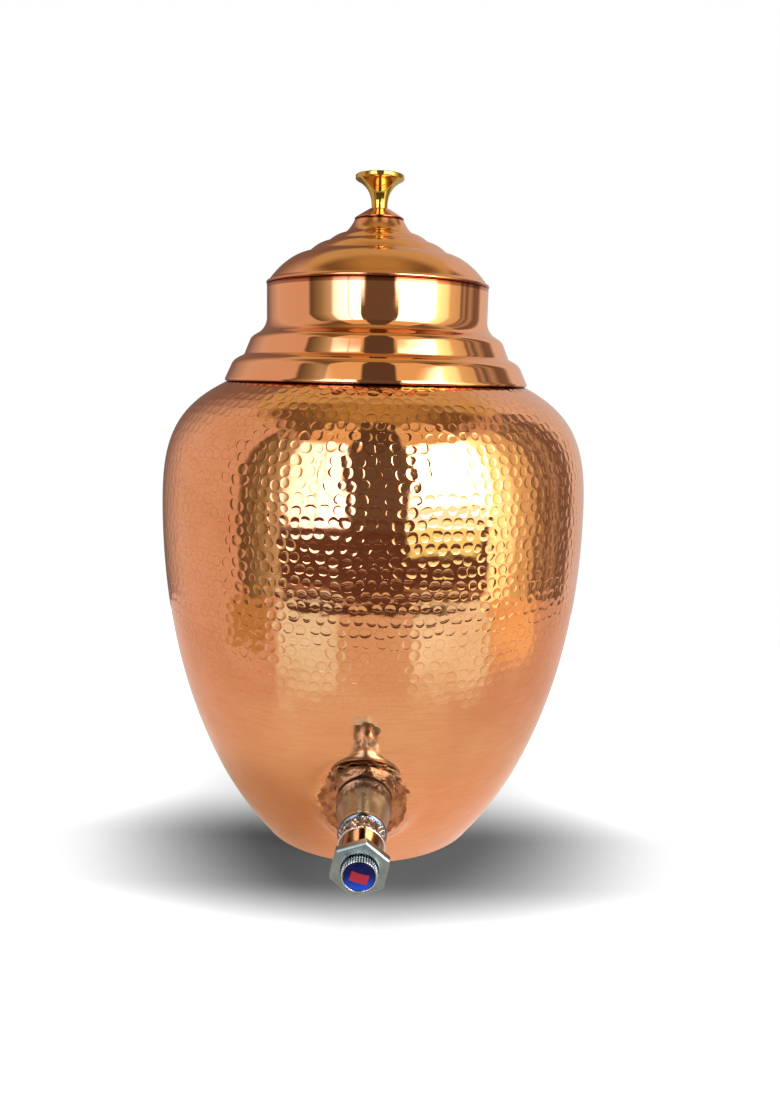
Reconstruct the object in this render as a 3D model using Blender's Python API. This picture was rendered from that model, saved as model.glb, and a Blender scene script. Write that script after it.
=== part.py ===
"""Copper water dispenser: a hammered copper vessel with a spun neck, a lift-off lid with a
brass knob, and a chromed spring push tap low on its front.

Lengths are in metres and +Z is up. The origin is the centre of the flat underside. The tap
points along -Y, tilted a little towards the floor.
"""

import math

import bmesh
import bpy
from mathutils import Vector

# Fits and cuts
SEAM = 0.0003  # left between pieces that touch
LAP_CLEARANCE = 0.0007  # round the vessel's lip, inside the neck collar
CUT_OVERRUN = 0.002  # how far a cutter runs past what it cuts
COPPER_WALL = 0.0012  # sheet of the vessel, the collar and the lid

# Vessel body
BASE_RADIUS = 0.0725  # flat underside
BASE_ROUNDING = 0.0015
BELLY_RADIUS = 0.140
BELLY_HEIGHT = 0.217  # where the vessel is widest
SHOULDER_RADIUS = 0.1003  # where the shoulder turns up into the collar
SHOULDER_HEIGHT = 0.3025
LIP_HEIGHT = 0.0045  # upright lip inside the collar
FLANK_START_SHARES = (0.603, 0.219)  # curve handles, of the flank's width and height
FLANK_END_SHARE = 0.428
SHOULDER_START_SHARE = 0.498
SHOULDER_END_SHARES = (0.892, 0.216)

# Neck collar: two stepped rings, and the upright tube of the neck
COLLAR_RADIUS = 0.0984  # foot of the lower ring
LOWER_RING_RISE = 0.0167
LOWER_RING_TOP_RADIUS = 0.0872
UPPER_RING_RADIUS = 0.0862
UPPER_RING_RISE = 0.0120
UPPER_RING_TOP_RADIUS = 0.0796
NECK_RADIUS = 0.0718
NECK_FILLET_RISE = 0.0105
NECK_RISE = 0.0212  # upright part, up to the lid
RING_FOOT_SHARE = 0.35  # upright part of a ring, of its rise
RING_CROWN_SHARE = 0.45  # how far the curve runs on level at a ring's top

# Tap seat, where the belly is pressed flat round the tap's hole
TAP_TILT = math.radians(5.0)  # below level
TAP_STAND_OFF = 0.00113  # from the belly's side, before it is pressed, to the flange's back
TAP_AXIS_HEIGHT = 0.058
SEAT_RADIUS = 0.0195
SEAT_BLEND = 0.0115  # width of the dent round the flat seat

# Lid
LID_RADIUS = 0.0709  # centre of the rolled rim
LID_RIM_ROLL = 0.0013
LID_HEIGHT = 0.0408  # from the rolled rim's centre to the flat crown
LID_CROWN_RADIUS = 0.0156
SKIRT_DEPTH = 0.0160
SKIRT_WALL = 0.0010
BELL_SHARES = ((0.247, 0.917), (0.275, 0.824), (0.329, 0.777))
FIRST_RING_SHARES = ((0.381, 0.772), (0.430, 0.703), (0.470, 0.645))
SECOND_RING_SHARES = ((0.543, 0.632), (0.599, 0.547), (0.647, 0.468))
DOME_SHARES = ((0.776, 0.451), (0.924, 0.221), (1.000, 0.017))

# Knob, its cone and its screw
CONE_RADIUS = 0.0159
CONE_TOP_RADIUS = 0.0066
CONE_HEIGHT = 0.0065
KNOB_STEM_RADIUS = 0.0051
KNOB_STEM_HEIGHT = 0.0020
KNOB_RADIUS = 0.0156
KNOB_FLARE_HEIGHT = 0.0157
KNOB_RIM_HEIGHT = 0.0026
KNOB_CROWN = 0.0013
KNOB_BORE_DEPTH = 0.0095
FLARE_SHARES = ((0.02, 0.45), (0.48, 0.76))
SCREW_RADIUS = 0.0024
SCREW_LENGTH = 0.0189
SCREW_HEAD_RADIUS = 0.0042
SCREW_HEAD_HEIGHT = 0.0026
SCREW_SLOT_WIDTH = 0.0011
SCREW_SLOT_DEPTH = 0.0012
SCREW_WASHER_RADIUS = 0.0070
SCREW_WASHER_THICKNESS = 0.0010

# Tap body, outside, along the tap's axis from the flange's back
FLANGE_RADIUS = 0.0170
FLANGE_THICKNESS = 0.0016
BELL_LENGTH = 0.0310
BELL_FRONT_RADIUS = 0.0133
BEAD_RADIUS = 0.0141
BEAD_WIDTH = 0.0030
BAND_RADIUS = 0.0134
BAND_LENGTH = 0.0120
BARREL_RADIUS = 0.0127
BARREL_LENGTH = 0.0140
FLANGE_BEVEL = 0.0006
SHANK_RADIUS = 0.01045
SHANK_LENGTH = 0.0185

# Tap body, inside
INLET_RADIUS = 0.0076
WEB_BACK = 0.0140  # the valve seat's face
WEB_THICKNESS = 0.0060
PORT_RADIUS = 0.0045
CHAMBER_RADIUS = 0.0085
SPOUT_PLACE = 0.0300  # along the tap's axis
SPOUT_REACH = 0.0290  # from the tap's axis to the spout's tip
SPOUT_RADIUS = 0.0075
SPOUT_TIP_RADIUS = 0.0068
SPOUT_BORE_RADIUS = 0.0050

# Washers and nut on the shank
OUTER_WASHER_RADIUS = 0.0162
RUBBER_THICKNESS = 0.0015
INNER_WASHER_RADIUS = 0.0155
BACKING_WASHER_RADIUS = 0.0150
BACKING_THICKNESS = 0.0012
LOCK_NUT_HALF_FLATS = 0.0130
LOCK_NUT_THICKNESS = 0.0060
NUT_CHAMFER = 0.0006

# Bonnet, the hexagonal front cap
BONNET_HALF_FLATS = 0.0148
BONNET_THICKNESS = 0.0050
BONNET_CHAMFER = 0.0008
BONNET_TURN = math.radians(-11.0)  # where its corners stopped when it was tightened
BONNET_NECK_RADIUS = 0.0109
BONNET_NECK_LENGTH = 0.0102
BONNET_FLOOR = 0.0050
GASKET_THICKNESS = 0.0006
O_RING_SECTION = 0.0010  # radius of its round section

# Button
BUTTON_RADIUS = 0.0096
BUTTON_REACH = 0.0058  # from the bonnet's face to the button's front edge
BUTTON_TRAVEL = 0.0045
BUTTON_DEPTH = 0.0010  # of the skirt in the bonnet at rest
BUTTON_SLIDE_CLEARANCE = 0.00035
BUTTON_SKIRT_WALL = 0.0020
BUTTON_PLATE = 0.0020
BUTTON_BEVEL = 0.0005
BUTTON_BOSS_RADIUS = 0.0038
KNURL_DEPTH = 0.0003
INSERT_RADIUS = 0.0085
INSERT_EDGE = 0.0010  # height of the insert's edge, in the button's recess
INSERT_CROWN = 0.0012

# Stem, valve and return spring
STEM_RADIUS = 0.0025
STEM_TAIL_RADIUS = 0.0016
VALVE_WASHER_RADIUS = 0.0062
VALVE_WASHER_THICKNESS = 0.0030
VALVE_NUT_HALF_FLATS = 0.0032
VALVE_NUT_THICKNESS = 0.0030
TAIL_END = 0.0008  # tail left past the valve nut
SPRING_RADIUS = 0.0056
SPRING_WIRE_RADIUS = 0.00045
SPRING_TURNS = 6

# Facets
LARGE_FACETS = 36
SMALL_FACETS = 24
BUTTON_FACETS = 48
SEAT_COLUMN = math.radians(2.5)  # between the vessel's columns at the tap's seat
FAR_COLUMN = math.radians(9.0)  # and everywhere else
FLANK_ROWS = 42
FAR_ROW = 6  # away from the seat only every sixth row is kept
SPRING_POINTS_PER_TURN = 12
SHARP_EDGE = math.radians(32.0)

# Materials: colour, metallic, roughness
COPPER = ("copper", (0.78, 0.40, 0.22), 1.0, 0.18)
HAMMERED_COPPER = ("hammered_copper", (0.75, 0.37, 0.20), 1.0, 0.25)
BRASS = ("brass", (0.86, 0.62, 0.20), 1.0, 0.15)
PLAIN_BRASS = ("plain_brass", (0.74, 0.57, 0.28), 1.0, 0.40)
CHROME = ("chrome", (0.80, 0.81, 0.82), 1.0, 0.10)
SATIN_CHROME = ("satin_chrome", (0.58, 0.61, 0.60), 1.0, 0.35)
STEEL = ("steel", (0.62, 0.62, 0.63), 1.0, 0.30)
RUBBER = ("rubber", (0.03, 0.03, 0.03), 0.0, 0.70)
BLUE_PLASTIC = ("blue_plastic", (0.02, 0.08, 0.55), 0.0, 0.20)


def curve(start, first_handle, second_handle, end, steps):
    """Points along a cubic Bezier curve, without its start point."""
    points = []
    for step in range(1, steps + 1):
        share = step / steps
        rest = 1 - share
        weights = (rest**3, 3 * rest**2 * share, 3 * rest * share**2, share**3)
        corners = (start, first_handle, second_handle, end)
        points.append(tuple(
            sum(weight * corner[side] for weight, corner in zip(weights, corners))
            for side in (0, 1)
        ))
    return points


def arc(centre, radius, start_degrees, end_degrees, steps):
    """Points along an arc in the outline's plane, both ends included."""
    points = []
    for step in range(steps + 1):
        angle = math.radians(start_degrees + (end_degrees - start_degrees) * step / steps)
        points.append((centre[0] + radius * math.cos(angle), centre[1] + radius * math.sin(angle)))
    return points


def offset(outline, distance):
    """The outline moved sideways, to its right as it runs."""
    moved = []
    for index, point in enumerate(outline):
        before = Vector(outline[max(index - 1, 0)])
        after = Vector(outline[min(index + 1, len(outline) - 1)])
        along = (after - before).normalized()
        moved.append((point[0] + along.y * distance, point[1] - along.x * distance))
    return moved


def domed(radius, foot, crown, steps):
    """Points over a shallow dome, from its edge to the axis."""
    shares = [1 - step / steps for step in range(steps + 1)]
    return [(radius * share, foot + crown * (1 - share * share)) for share in shares]


def height_at(outline, radius):
    """Height of an outline at a radius, between the two points on each side of it."""
    for (inner, low), (outer, high) in zip(outline, outline[1:]):
        if min(inner, outer) <= radius <= max(inner, outer):
            share = (radius - inner) / (outer - inner)
            return low + (high - low) * share
    return outline[-1][1]


def radius_at(outline, height):
    """Radius of an outline at a height, between the two points on each side of it."""
    return height_at([(point[1], point[0]) for point in outline], height)


def hexagon(half_flats):
    """Radius round a hexagon, for an outline point."""
    side = math.pi / 3

    def reach(angle, index):
        return half_flats / math.cos((angle + side / 2) % side - side / 2)

    return reach


def knurled(radius, depth):
    """Radius round a straight knurl, for an outline point: every second column is sunk."""

    def reach(angle, index):
        return radius - depth * (index % 2)

    return reach


def even_angles(count):
    return [2 * math.pi * index / count for index in range(count)]


def turned(outline, angles, closed=True):
    """Turn an outline of (radius, height) points about Z.

    A radius is a length, or a function of the angle and of the column's number.
    """
    shape = bmesh.new()
    rings = []
    for radius, height in outline:
        if radius == 0:
            rings.append([shape.verts.new((0, 0, height))] * len(angles))
            continue
        ring = []
        for index, angle in enumerate(angles):
            reach = radius(angle, index) if callable(radius) else radius
            ring.append(shape.verts.new((reach * math.cos(angle), reach * math.sin(angle), height)))
        rings.append(ring)
    pairs = list(zip(rings, rings[1:]))
    if closed:
        pairs.append((rings[-1], rings[0]))
    for lower, upper in pairs:
        for index in range(len(angles)):
            following = (index + 1) % len(angles)
            corners = (lower[index], lower[following], upper[following], upper[index])
            corners = list(dict.fromkeys(corners))
            if len(corners) > 2:
                shape.faces.new(corners)
    if closed:
        bmesh.ops.recalc_face_normals(shape, faces=shape.faces)
    return shape


def material(description):
    name, colour, metallic, roughness = description
    found = bpy.data.materials.get(name)
    if found:
        return found
    made = bpy.data.materials.new(name)
    made.use_nodes = True
    shader = made.node_tree.nodes["Principled BSDF"]
    shader.inputs["Base Color"].default_value = (*colour, 1)
    shader.inputs["Metallic"].default_value = metallic
    shader.inputs["Roughness"].default_value = roughness
    made.diffuse_color = (*colour, 1)
    return made


def piece(name, shape, description, parent=None, height=0, turn=0):
    """Put a shape in the scene, at a height along its parent's axis."""
    mesh = bpy.data.meshes.new(name)
    shape.to_mesh(mesh)
    shape.free()
    mesh.materials.append(material(description))
    mesh.shade_smooth()
    mesh.set_sharp_from_angle(angle=SHARP_EDGE)
    made = bpy.data.objects.new(name, mesh)
    made.location = (0, 0, height)
    made.rotation_euler = (0, 0, turn)
    made.parent = parent
    bpy.context.scene.collection.objects.link(made)
    return made


def guide(name, shape, parent=None):
    """A shape that only cuts or joins, and isn't a piece."""
    made = piece(name, shape, STEEL, parent)
    made.hide_render = True
    made.display_type = "WIRE"
    return made


def boolean(target, operation, other):
    step = target.modifiers.new(other.name, "BOOLEAN")
    step.operation = operation
    step.solver = "EXACT"
    step.object = other


def axis(name, location, rotation=(0, 0, 0), parent=None):
    """An empty whose Z is the axis that its children share."""
    made = bpy.data.objects.new(name, None)
    made.location = location
    made.rotation_euler = rotation
    made.parent = parent
    bpy.context.scene.collection.objects.link(made)
    return made


for old in list(bpy.data.objects):
    bpy.data.objects.remove(old, do_unlink=True)

# Vessel body: one sheet, open at the top, with a pressed seat and a hole for the tap

base_corner = (BASE_RADIUS + BASE_ROUNDING, BASE_ROUNDING)
flank_width = BELLY_RADIUS - base_corner[0]
flank_height = BELLY_HEIGHT - base_corner[1]
flank_handles = (
    (
        base_corner[0] + FLANK_START_SHARES[0] * flank_width,
        base_corner[1] + FLANK_START_SHARES[1] * flank_height,
    ),
    (BELLY_RADIUS, BELLY_HEIGHT - FLANK_END_SHARE * flank_height),
)
flank = curve(base_corner, *flank_handles, (BELLY_RADIUS, BELLY_HEIGHT), FLANK_ROWS)
dent_radius = SEAT_RADIUS + SEAT_BLEND
tap_flange_reach = radius_at(flank, TAP_AXIS_HEIGHT) + TAP_STAND_OFF
flank = [
    point for row, point in enumerate(flank, 1)
    if abs(point[1] - TAP_AXIS_HEIGHT) < dent_radius or row % FAR_ROW == 0
]

shoulder_width = BELLY_RADIUS - SHOULDER_RADIUS
shoulder_rise = SHOULDER_HEIGHT - BELLY_HEIGHT
shoulder = curve(
    (BELLY_RADIUS, BELLY_HEIGHT),
    (BELLY_RADIUS, BELLY_HEIGHT + SHOULDER_START_SHARE * shoulder_rise),
    (
        SHOULDER_RADIUS + SHOULDER_END_SHARES[0] * shoulder_width,
        SHOULDER_HEIGHT - SHOULDER_END_SHARES[1] * shoulder_rise,
    ),
    (SHOULDER_RADIUS, SHOULDER_HEIGHT),
    7,
)
shoulder_slope = SHOULDER_END_SHARES[1] * shoulder_rise / (SHOULDER_END_SHARES[0] * shoulder_width)
lip_radius = COLLAR_RADIUS - COPPER_WALL - LAP_CLEARANCE
lip_foot = SHOULDER_HEIGHT + (SHOULDER_RADIUS - lip_radius) * shoulder_slope
vessel_outline = [
    (0, 0),
    (BASE_RADIUS, 0),
    base_corner,
    *flank,
    *shoulder,
    (lip_radius, lip_foot),
    (lip_radius, lip_foot + LIP_HEIGHT),
]

dent_half_angle = math.asin(dent_radius / tap_flange_reach)
seat_columns = math.ceil(2 * dent_half_angle / SEAT_COLUMN)
far_angle = 2 * (math.pi - dent_half_angle)
far_columns = math.ceil(far_angle / FAR_COLUMN)
tap_side = -math.pi / 2
belly_columns = [
    tap_side - dent_half_angle + 2 * dent_half_angle * index / seat_columns
    for index in range(seat_columns)
]
belly_columns += [
    tap_side + dent_half_angle + far_angle * index / far_columns
    for index in range(far_columns)
]
vessel_shape = turned(vessel_outline, belly_columns, closed=False)

tap_origin = Vector((0, -tap_flange_reach, TAP_AXIS_HEIGHT))
tap_direction = Vector((0, -math.cos(TAP_TILT), -math.sin(TAP_TILT)))
seat_face = -2 * SEAM - RUBBER_THICKNESS  # along the tap's axis, from the flange's back

for vertex in vessel_shape.verts:
    from_origin = vertex.co - tap_origin
    along = from_origin.dot(tap_direction)
    if along < -tap_flange_reach / 2:
        continue
    away = (from_origin - along * tap_direction).length
    share = min(max((away - SEAT_RADIUS) / SEAT_BLEND, 0), 1)
    kept = share * share * (3 - 2 * share)
    vertex.co += (seat_face - along) * (1 - kept) * tap_direction

vessel_body = piece("vessel_body", vessel_shape, HAMMERED_COPPER)
wall = vessel_body.modifiers.new("wall", "SOLIDIFY")
wall.thickness = COPPER_WALL
wall.offset = -1
wall.use_even_offset = True

tap_axis = axis("tap_axis", tap_origin, (math.pi / 2 + TAP_TILT, 0, 0))
small_angles = even_angles(SMALL_FACETS)
large_angles = even_angles(LARGE_FACETS)
hole_radius = SHANK_RADIUS + SEAM
hole_shape = turned(
    [
        (0, seat_face - COPPER_WALL - CUT_OVERRUN),
        (hole_radius, seat_face - COPPER_WALL - CUT_OVERRUN),
        (hole_radius, seat_face + CUT_OVERRUN),
        (0, seat_face + CUT_OVERRUN),
    ],
    small_angles,
)
boolean(vessel_body, "DIFFERENCE", guide("tap_hole_cutter", hole_shape, tap_axis))

# Neck collar: spun from sheet, soldered over the vessel's lip, with the neck's tube on top

collar_bore = COLLAR_RADIUS - COPPER_WALL
collar_foot = height_at([(SHOULDER_RADIUS, SHOULDER_HEIGHT), (lip_radius, lip_foot)], collar_bore) + 2 * SEAM
lower_top = collar_foot + LOWER_RING_RISE
upper_top = lower_top + UPPER_RING_RISE
neck_foot = upper_top + NECK_FILLET_RISE
neck_top = neck_foot + NECK_RISE
lower_foot_rise = RING_FOOT_SHARE * LOWER_RING_RISE
upper_foot_rise = RING_FOOT_SHARE * UPPER_RING_RISE
lower_run = RING_CROWN_SHARE * (COLLAR_RADIUS - LOWER_RING_TOP_RADIUS)
upper_run = RING_CROWN_SHARE * (UPPER_RING_RADIUS - UPPER_RING_TOP_RADIUS)
collar_outside = [
    (COLLAR_RADIUS, collar_foot),
    (COLLAR_RADIUS, collar_foot + lower_foot_rise),
    *curve(
        (COLLAR_RADIUS, collar_foot + lower_foot_rise),
        (COLLAR_RADIUS, lower_top - lower_foot_rise),
        (LOWER_RING_TOP_RADIUS + lower_run, lower_top),
        (LOWER_RING_TOP_RADIUS, lower_top),
        5,
    ),
    (UPPER_RING_RADIUS, lower_top + upper_foot_rise),
    *curve(
        (UPPER_RING_RADIUS, lower_top + upper_foot_rise),
        (UPPER_RING_RADIUS, upper_top - upper_foot_rise),
        (UPPER_RING_TOP_RADIUS + upper_run, upper_top),
        (UPPER_RING_TOP_RADIUS, upper_top),
        3,
    ),
    *curve(
        (UPPER_RING_TOP_RADIUS, upper_top),
        (NECK_RADIUS + upper_run, upper_top + upper_foot_rise),
        (NECK_RADIUS, neck_foot - upper_foot_rise),
        (NECK_RADIUS, neck_foot),
        4,
    ),
]
collar_inside = offset(collar_outside, -COPPER_WALL)
neck_bore = NECK_RADIUS - COPPER_WALL
collar_inside[0] = (collar_bore, collar_foot)
collar_inside[-1] = (neck_bore, neck_foot)
collar_shape = turned([*collar_outside, *reversed(collar_inside)], large_angles)
piece("neck_collar", collar_shape, COPPER)

tube_foot = neck_foot + SEAM
tube_outline = [
    (NECK_RADIUS, tube_foot),
    (NECK_RADIUS, neck_top),
    (neck_bore, neck_top),
    (neck_bore, tube_foot),
]
piece("neck_tube", turned(tube_outline, large_angles), COPPER)

# Lid: one spun sheet with a rolled rim, and a skirt inside that keeps it in the neck

lid_axis = axis("lid_axis", (0, 0, neck_top))
rim_centre = (LID_RADIUS, SEAM + LID_RIM_ROLL)


def lid_point(shares):
    return (shares[0] * LID_RADIUS, rim_centre[1] + shares[1] * LID_HEIGHT)


lid_crown = rim_centre[1] + LID_HEIGHT
bolt_hole = SCREW_RADIUS + SEAM
lid_outside = [(bolt_hole, lid_crown), (LID_CROWN_RADIUS, lid_crown)]
for handles, steps in ((BELL_SHARES, 4), (FIRST_RING_SHARES, 3), (SECOND_RING_SHARES, 3), (DOME_SHARES, 5)):
    lid_outside += curve(lid_outside[-1], *(lid_point(shares) for shares in handles), steps)
lid_inside = offset(lid_outside, COPPER_WALL)
lid_inside[0] = (bolt_hole, lid_crown - COPPER_WALL)
rim_roll = arc(rim_centre, LID_RIM_ROLL, 30, -210, 8)
lid_shape = turned([*lid_outside[:-1], *rim_roll, *reversed(lid_inside[:-1])], large_angles)
piece("lid_shell", lid_shape, COPPER, lid_axis)

skirt_radius = LID_RADIUS - LID_RIM_ROLL - SEAM
skirt_top = height_at(lid_inside, skirt_radius) - 2 * SEAM
skirt_outline = [
    (skirt_radius, -SKIRT_DEPTH),
    (skirt_radius, skirt_top),
    (skirt_radius - SKIRT_WALL, skirt_top),
    (skirt_radius - SKIRT_WALL, -SKIRT_DEPTH),
]
piece("lid_locating_ring", turned(skirt_outline, large_angles), COPPER, lid_axis)

# Knob: a cone on the lid's crown, a brass knob on the cone, and a screw from below

cone_foot = lid_crown + SEAM
cone_outline = [
    (bolt_hole, 0),
    (CONE_RADIUS, 0),
    (CONE_TOP_RADIUS, CONE_HEIGHT),
    (bolt_hole, CONE_HEIGHT),
]
piece("knob_base_cone", turned(cone_outline, large_angles), COPPER, lid_axis, cone_foot)

knob_foot = cone_foot + CONE_HEIGHT + SEAM
flare_width = KNOB_RADIUS - KNOB_STEM_RADIUS
flare_top = KNOB_STEM_HEIGHT + KNOB_FLARE_HEIGHT
flare_handles = [
    (KNOB_STEM_RADIUS + shares[0] * flare_width, KNOB_STEM_HEIGHT + shares[1] * KNOB_FLARE_HEIGHT)
    for shares in FLARE_SHARES
]
knob_top = flare_top + KNOB_RIM_HEIGHT
knob_outline = [
    (bolt_hole, 0),
    (KNOB_STEM_RADIUS, 0),
    (KNOB_STEM_RADIUS, KNOB_STEM_HEIGHT),
    *curve(
        (KNOB_STEM_RADIUS, KNOB_STEM_HEIGHT),
        *flare_handles,
        (KNOB_RADIUS, flare_top),
        7,
    ),
    *domed(KNOB_RADIUS, knob_top, KNOB_CROWN, 3),
    (0, KNOB_BORE_DEPTH),
    (bolt_hole, KNOB_BORE_DEPTH),
]
piece("lid_knob", turned(knob_outline, small_angles), BRASS, lid_axis, knob_foot)

washer_top = lid_crown - COPPER_WALL - SEAM
washer_outline = [
    (bolt_hole, 0),
    (bolt_hole, -SCREW_WASHER_THICKNESS),
    (SCREW_WASHER_RADIUS, -SCREW_WASHER_THICKNESS),
    (SCREW_WASHER_RADIUS, 0),
]
piece("knob_screw_washer", turned(washer_outline, small_angles), STEEL, lid_axis, washer_top)

head_top = washer_top - SCREW_WASHER_THICKNESS - SEAM
screw_outline = [
    (0, -SCREW_HEAD_HEIGHT),
    (SCREW_HEAD_RADIUS - SCREW_SLOT_WIDTH, -SCREW_HEAD_HEIGHT),
    (SCREW_HEAD_RADIUS, -SCREW_HEAD_HEIGHT + SCREW_SLOT_WIDTH),
    (SCREW_HEAD_RADIUS, 0),
    (SCREW_RADIUS, 0),
    (SCREW_RADIUS, SCREW_LENGTH),
    (0, SCREW_LENGTH),
]
knob_screw = piece("knob_screw", turned(screw_outline, small_angles), STEEL, lid_axis, head_top)
slot_shape = bmesh.new()
bmesh.ops.create_cube(slot_shape, size=1)
slot_size = (2 * SCREW_HEAD_RADIUS + CUT_OVERRUN, SCREW_SLOT_WIDTH, SCREW_SLOT_DEPTH + CUT_OVERRUN)
bmesh.ops.scale(slot_shape, vec=slot_size, verts=slot_shape.verts)
slot_cutter = guide("screw_slot_cutter", slot_shape, lid_axis)
slot_cutter.location.z = head_top - SCREW_HEAD_HEIGHT + (SCREW_SLOT_DEPTH - CUT_OVERRUN) / 2
boolean(knob_screw, "DIFFERENCE", slot_cutter)

# Tap body: one turned casting with a threaded shank behind and a spout below

bead_start = BELL_LENGTH
band_start = bead_start + BEAD_WIDTH
barrel_start = band_start + BAND_LENGTH
barrel_end = barrel_start + BARREL_LENGTH
tap_outline = [
    (0, -SHANK_LENGTH),
    (SHANK_RADIUS - FLANGE_BEVEL, -SHANK_LENGTH),
    (SHANK_RADIUS, -SHANK_LENGTH + FLANGE_BEVEL),
    (SHANK_RADIUS, 0),
    (FLANGE_RADIUS - FLANGE_BEVEL, 0),
    (FLANGE_RADIUS, FLANGE_BEVEL),
    (FLANGE_RADIUS, FLANGE_THICKNESS),
    *curve(
        (FLANGE_RADIUS - FLANGE_BEVEL, FLANGE_THICKNESS + FLANGE_BEVEL),
        (FLANGE_RADIUS - FLANGE_BEVEL, BELL_LENGTH / 2),
        (BELL_FRONT_RADIUS, BELL_LENGTH / 2),
        (BELL_FRONT_RADIUS, BELL_LENGTH),
        6,
    ),
    *arc(
        (BEAD_RADIUS - BEAD_WIDTH / 2, bead_start + BEAD_WIDTH / 2), BEAD_WIDTH / 2, -60, 60, 4
    ),
    (BAND_RADIUS, band_start + FLANGE_BEVEL),
    (BAND_RADIUS, barrel_start - FLANGE_BEVEL),
    (BARREL_RADIUS, barrel_start),
    (BARREL_RADIUS, barrel_end),
    (0, barrel_end),
]
tap_body = piece("tap_body", turned(tap_outline, large_angles), CHROME, tap_axis)

spout_outline = [
    (0, 0),
    (SPOUT_RADIUS, 0),
    (SPOUT_RADIUS, SPOUT_REACH / 2),
    (SPOUT_TIP_RADIUS, SPOUT_REACH),
    (0, SPOUT_REACH),
]
spout_axis = axis("spout_axis", (0, 0, SPOUT_PLACE), (math.pi / 2, 0, 0), tap_axis)
boolean(tap_body, "UNION", guide("spout_blank", turned(spout_outline, small_angles), spout_axis))

bonnet_bore = BONNET_NECK_RADIUS + SEAM
bonnet_back = barrel_end + 2 * SEAM + GASKET_THICKNESS
bonnet_neck_end = bonnet_back - BONNET_NECK_LENGTH
chamber_start = WEB_BACK + WEB_THICKNESS
waterway_outline = [
    (0, -SHANK_LENGTH - CUT_OVERRUN),
    (INLET_RADIUS, -SHANK_LENGTH - CUT_OVERRUN),
    (INLET_RADIUS, WEB_BACK),
    (PORT_RADIUS, WEB_BACK),
    (PORT_RADIUS, chamber_start),
    (CHAMBER_RADIUS, chamber_start),
    (CHAMBER_RADIUS, bonnet_neck_end - SEAM),
    (bonnet_bore, bonnet_neck_end - SEAM),
    (bonnet_bore, barrel_end + CUT_OVERRUN),
    (0, barrel_end + CUT_OVERRUN),
]
waterway = guide("waterway_cutter", turned(waterway_outline, small_angles), tap_axis)
boolean(tap_body, "DIFFERENCE", waterway)
spout_bore_outline = [
    (0, 0),
    (SPOUT_BORE_RADIUS, 0),
    (SPOUT_BORE_RADIUS, SPOUT_REACH + CUT_OVERRUN),
    (0, SPOUT_REACH + CUT_OVERRUN),
]
spout_bore = guide("spout_bore_cutter", turned(spout_bore_outline, small_angles), spout_axis)
boolean(tap_body, "DIFFERENCE", spout_bore)

# Washers and lock nut, in a row on the shank from the flange inwards


def washer(name, radius, thickness, front, description):
    """A flat ring on the shank, its front face at a place along the tap's axis."""
    outline = [
        (hole_radius, -thickness),
        (radius, -thickness),
        (radius, 0),
        (hole_radius, 0),
    ]
    piece(name, turned(outline, small_angles), description, tap_axis, front)


washer("tap_outer_washer", OUTER_WASHER_RADIUS, RUBBER_THICKNESS, -SEAM, RUBBER)
inner_front = seat_face - COPPER_WALL - SEAM
washer("tap_inner_washer", INNER_WASHER_RADIUS, RUBBER_THICKNESS, inner_front, RUBBER)
backing_front = inner_front - RUBBER_THICKNESS - SEAM
washer("tap_backing_washer", BACKING_WASHER_RADIUS, BACKING_THICKNESS, backing_front, PLAIN_BRASS)
nut_front = backing_front - BACKING_THICKNESS - SEAM
nut_outline = [
    (hole_radius, -LOCK_NUT_THICKNESS),
    (hexagon(LOCK_NUT_HALF_FLATS - NUT_CHAMFER), -LOCK_NUT_THICKNESS),
    (hexagon(LOCK_NUT_HALF_FLATS), -LOCK_NUT_THICKNESS + NUT_CHAMFER),
    (hexagon(LOCK_NUT_HALF_FLATS), 0),
    (hole_radius, 0),
]
piece("tap_lock_nut", turned(nut_outline, small_angles), PLAIN_BRASS, tap_axis, nut_front)

# Bonnet: a hexagonal cap screwed into the barrel, with a recess for the button and a seal

gasket_outline = [
    (bonnet_bore, 0),
    (BARREL_RADIUS - SEAM, 0),
    (BARREL_RADIUS - SEAM, GASKET_THICKNESS),
    (bonnet_bore, GASKET_THICKNESS),
]
piece("bonnet_gasket", turned(gasket_outline, large_angles), RUBBER, tap_axis, barrel_end + SEAM)

stem_bore = STEM_RADIUS + SEAM
button_bore = BUTTON_RADIUS + BUTTON_SLIDE_CLEARANCE
bonnet_front = bonnet_back + BONNET_THICKNESS
floor_front = bonnet_neck_end + BONNET_FLOOR
ring_centre = bonnet_neck_end + BONNET_FLOOR / 2
groove_half_width = O_RING_SECTION + SEAM
groove_radius = stem_bore + 2 * O_RING_SECTION + SEAM
bonnet_outline = [
    (stem_bore, bonnet_neck_end),
    (BONNET_NECK_RADIUS, bonnet_neck_end),
    (BONNET_NECK_RADIUS, bonnet_back),
    (hexagon(BONNET_HALF_FLATS - BONNET_CHAMFER / 2), bonnet_back),
    (hexagon(BONNET_HALF_FLATS), bonnet_back + BONNET_CHAMFER / 2),
    (hexagon(BONNET_HALF_FLATS), bonnet_front - BONNET_CHAMFER),
    (hexagon(BONNET_HALF_FLATS - BONNET_CHAMFER), bonnet_front),
    (button_bore, bonnet_front),
    (button_bore, floor_front),
    (stem_bore, floor_front),
    (stem_bore, ring_centre + groove_half_width),
    (groove_radius, ring_centre + groove_half_width),
    (groove_radius, ring_centre - groove_half_width),
    (stem_bore, ring_centre - groove_half_width),
]
piece("tap_bonnet", turned(bonnet_outline, large_angles), SATIN_CHROME, tap_axis, turn=BONNET_TURN)

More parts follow.
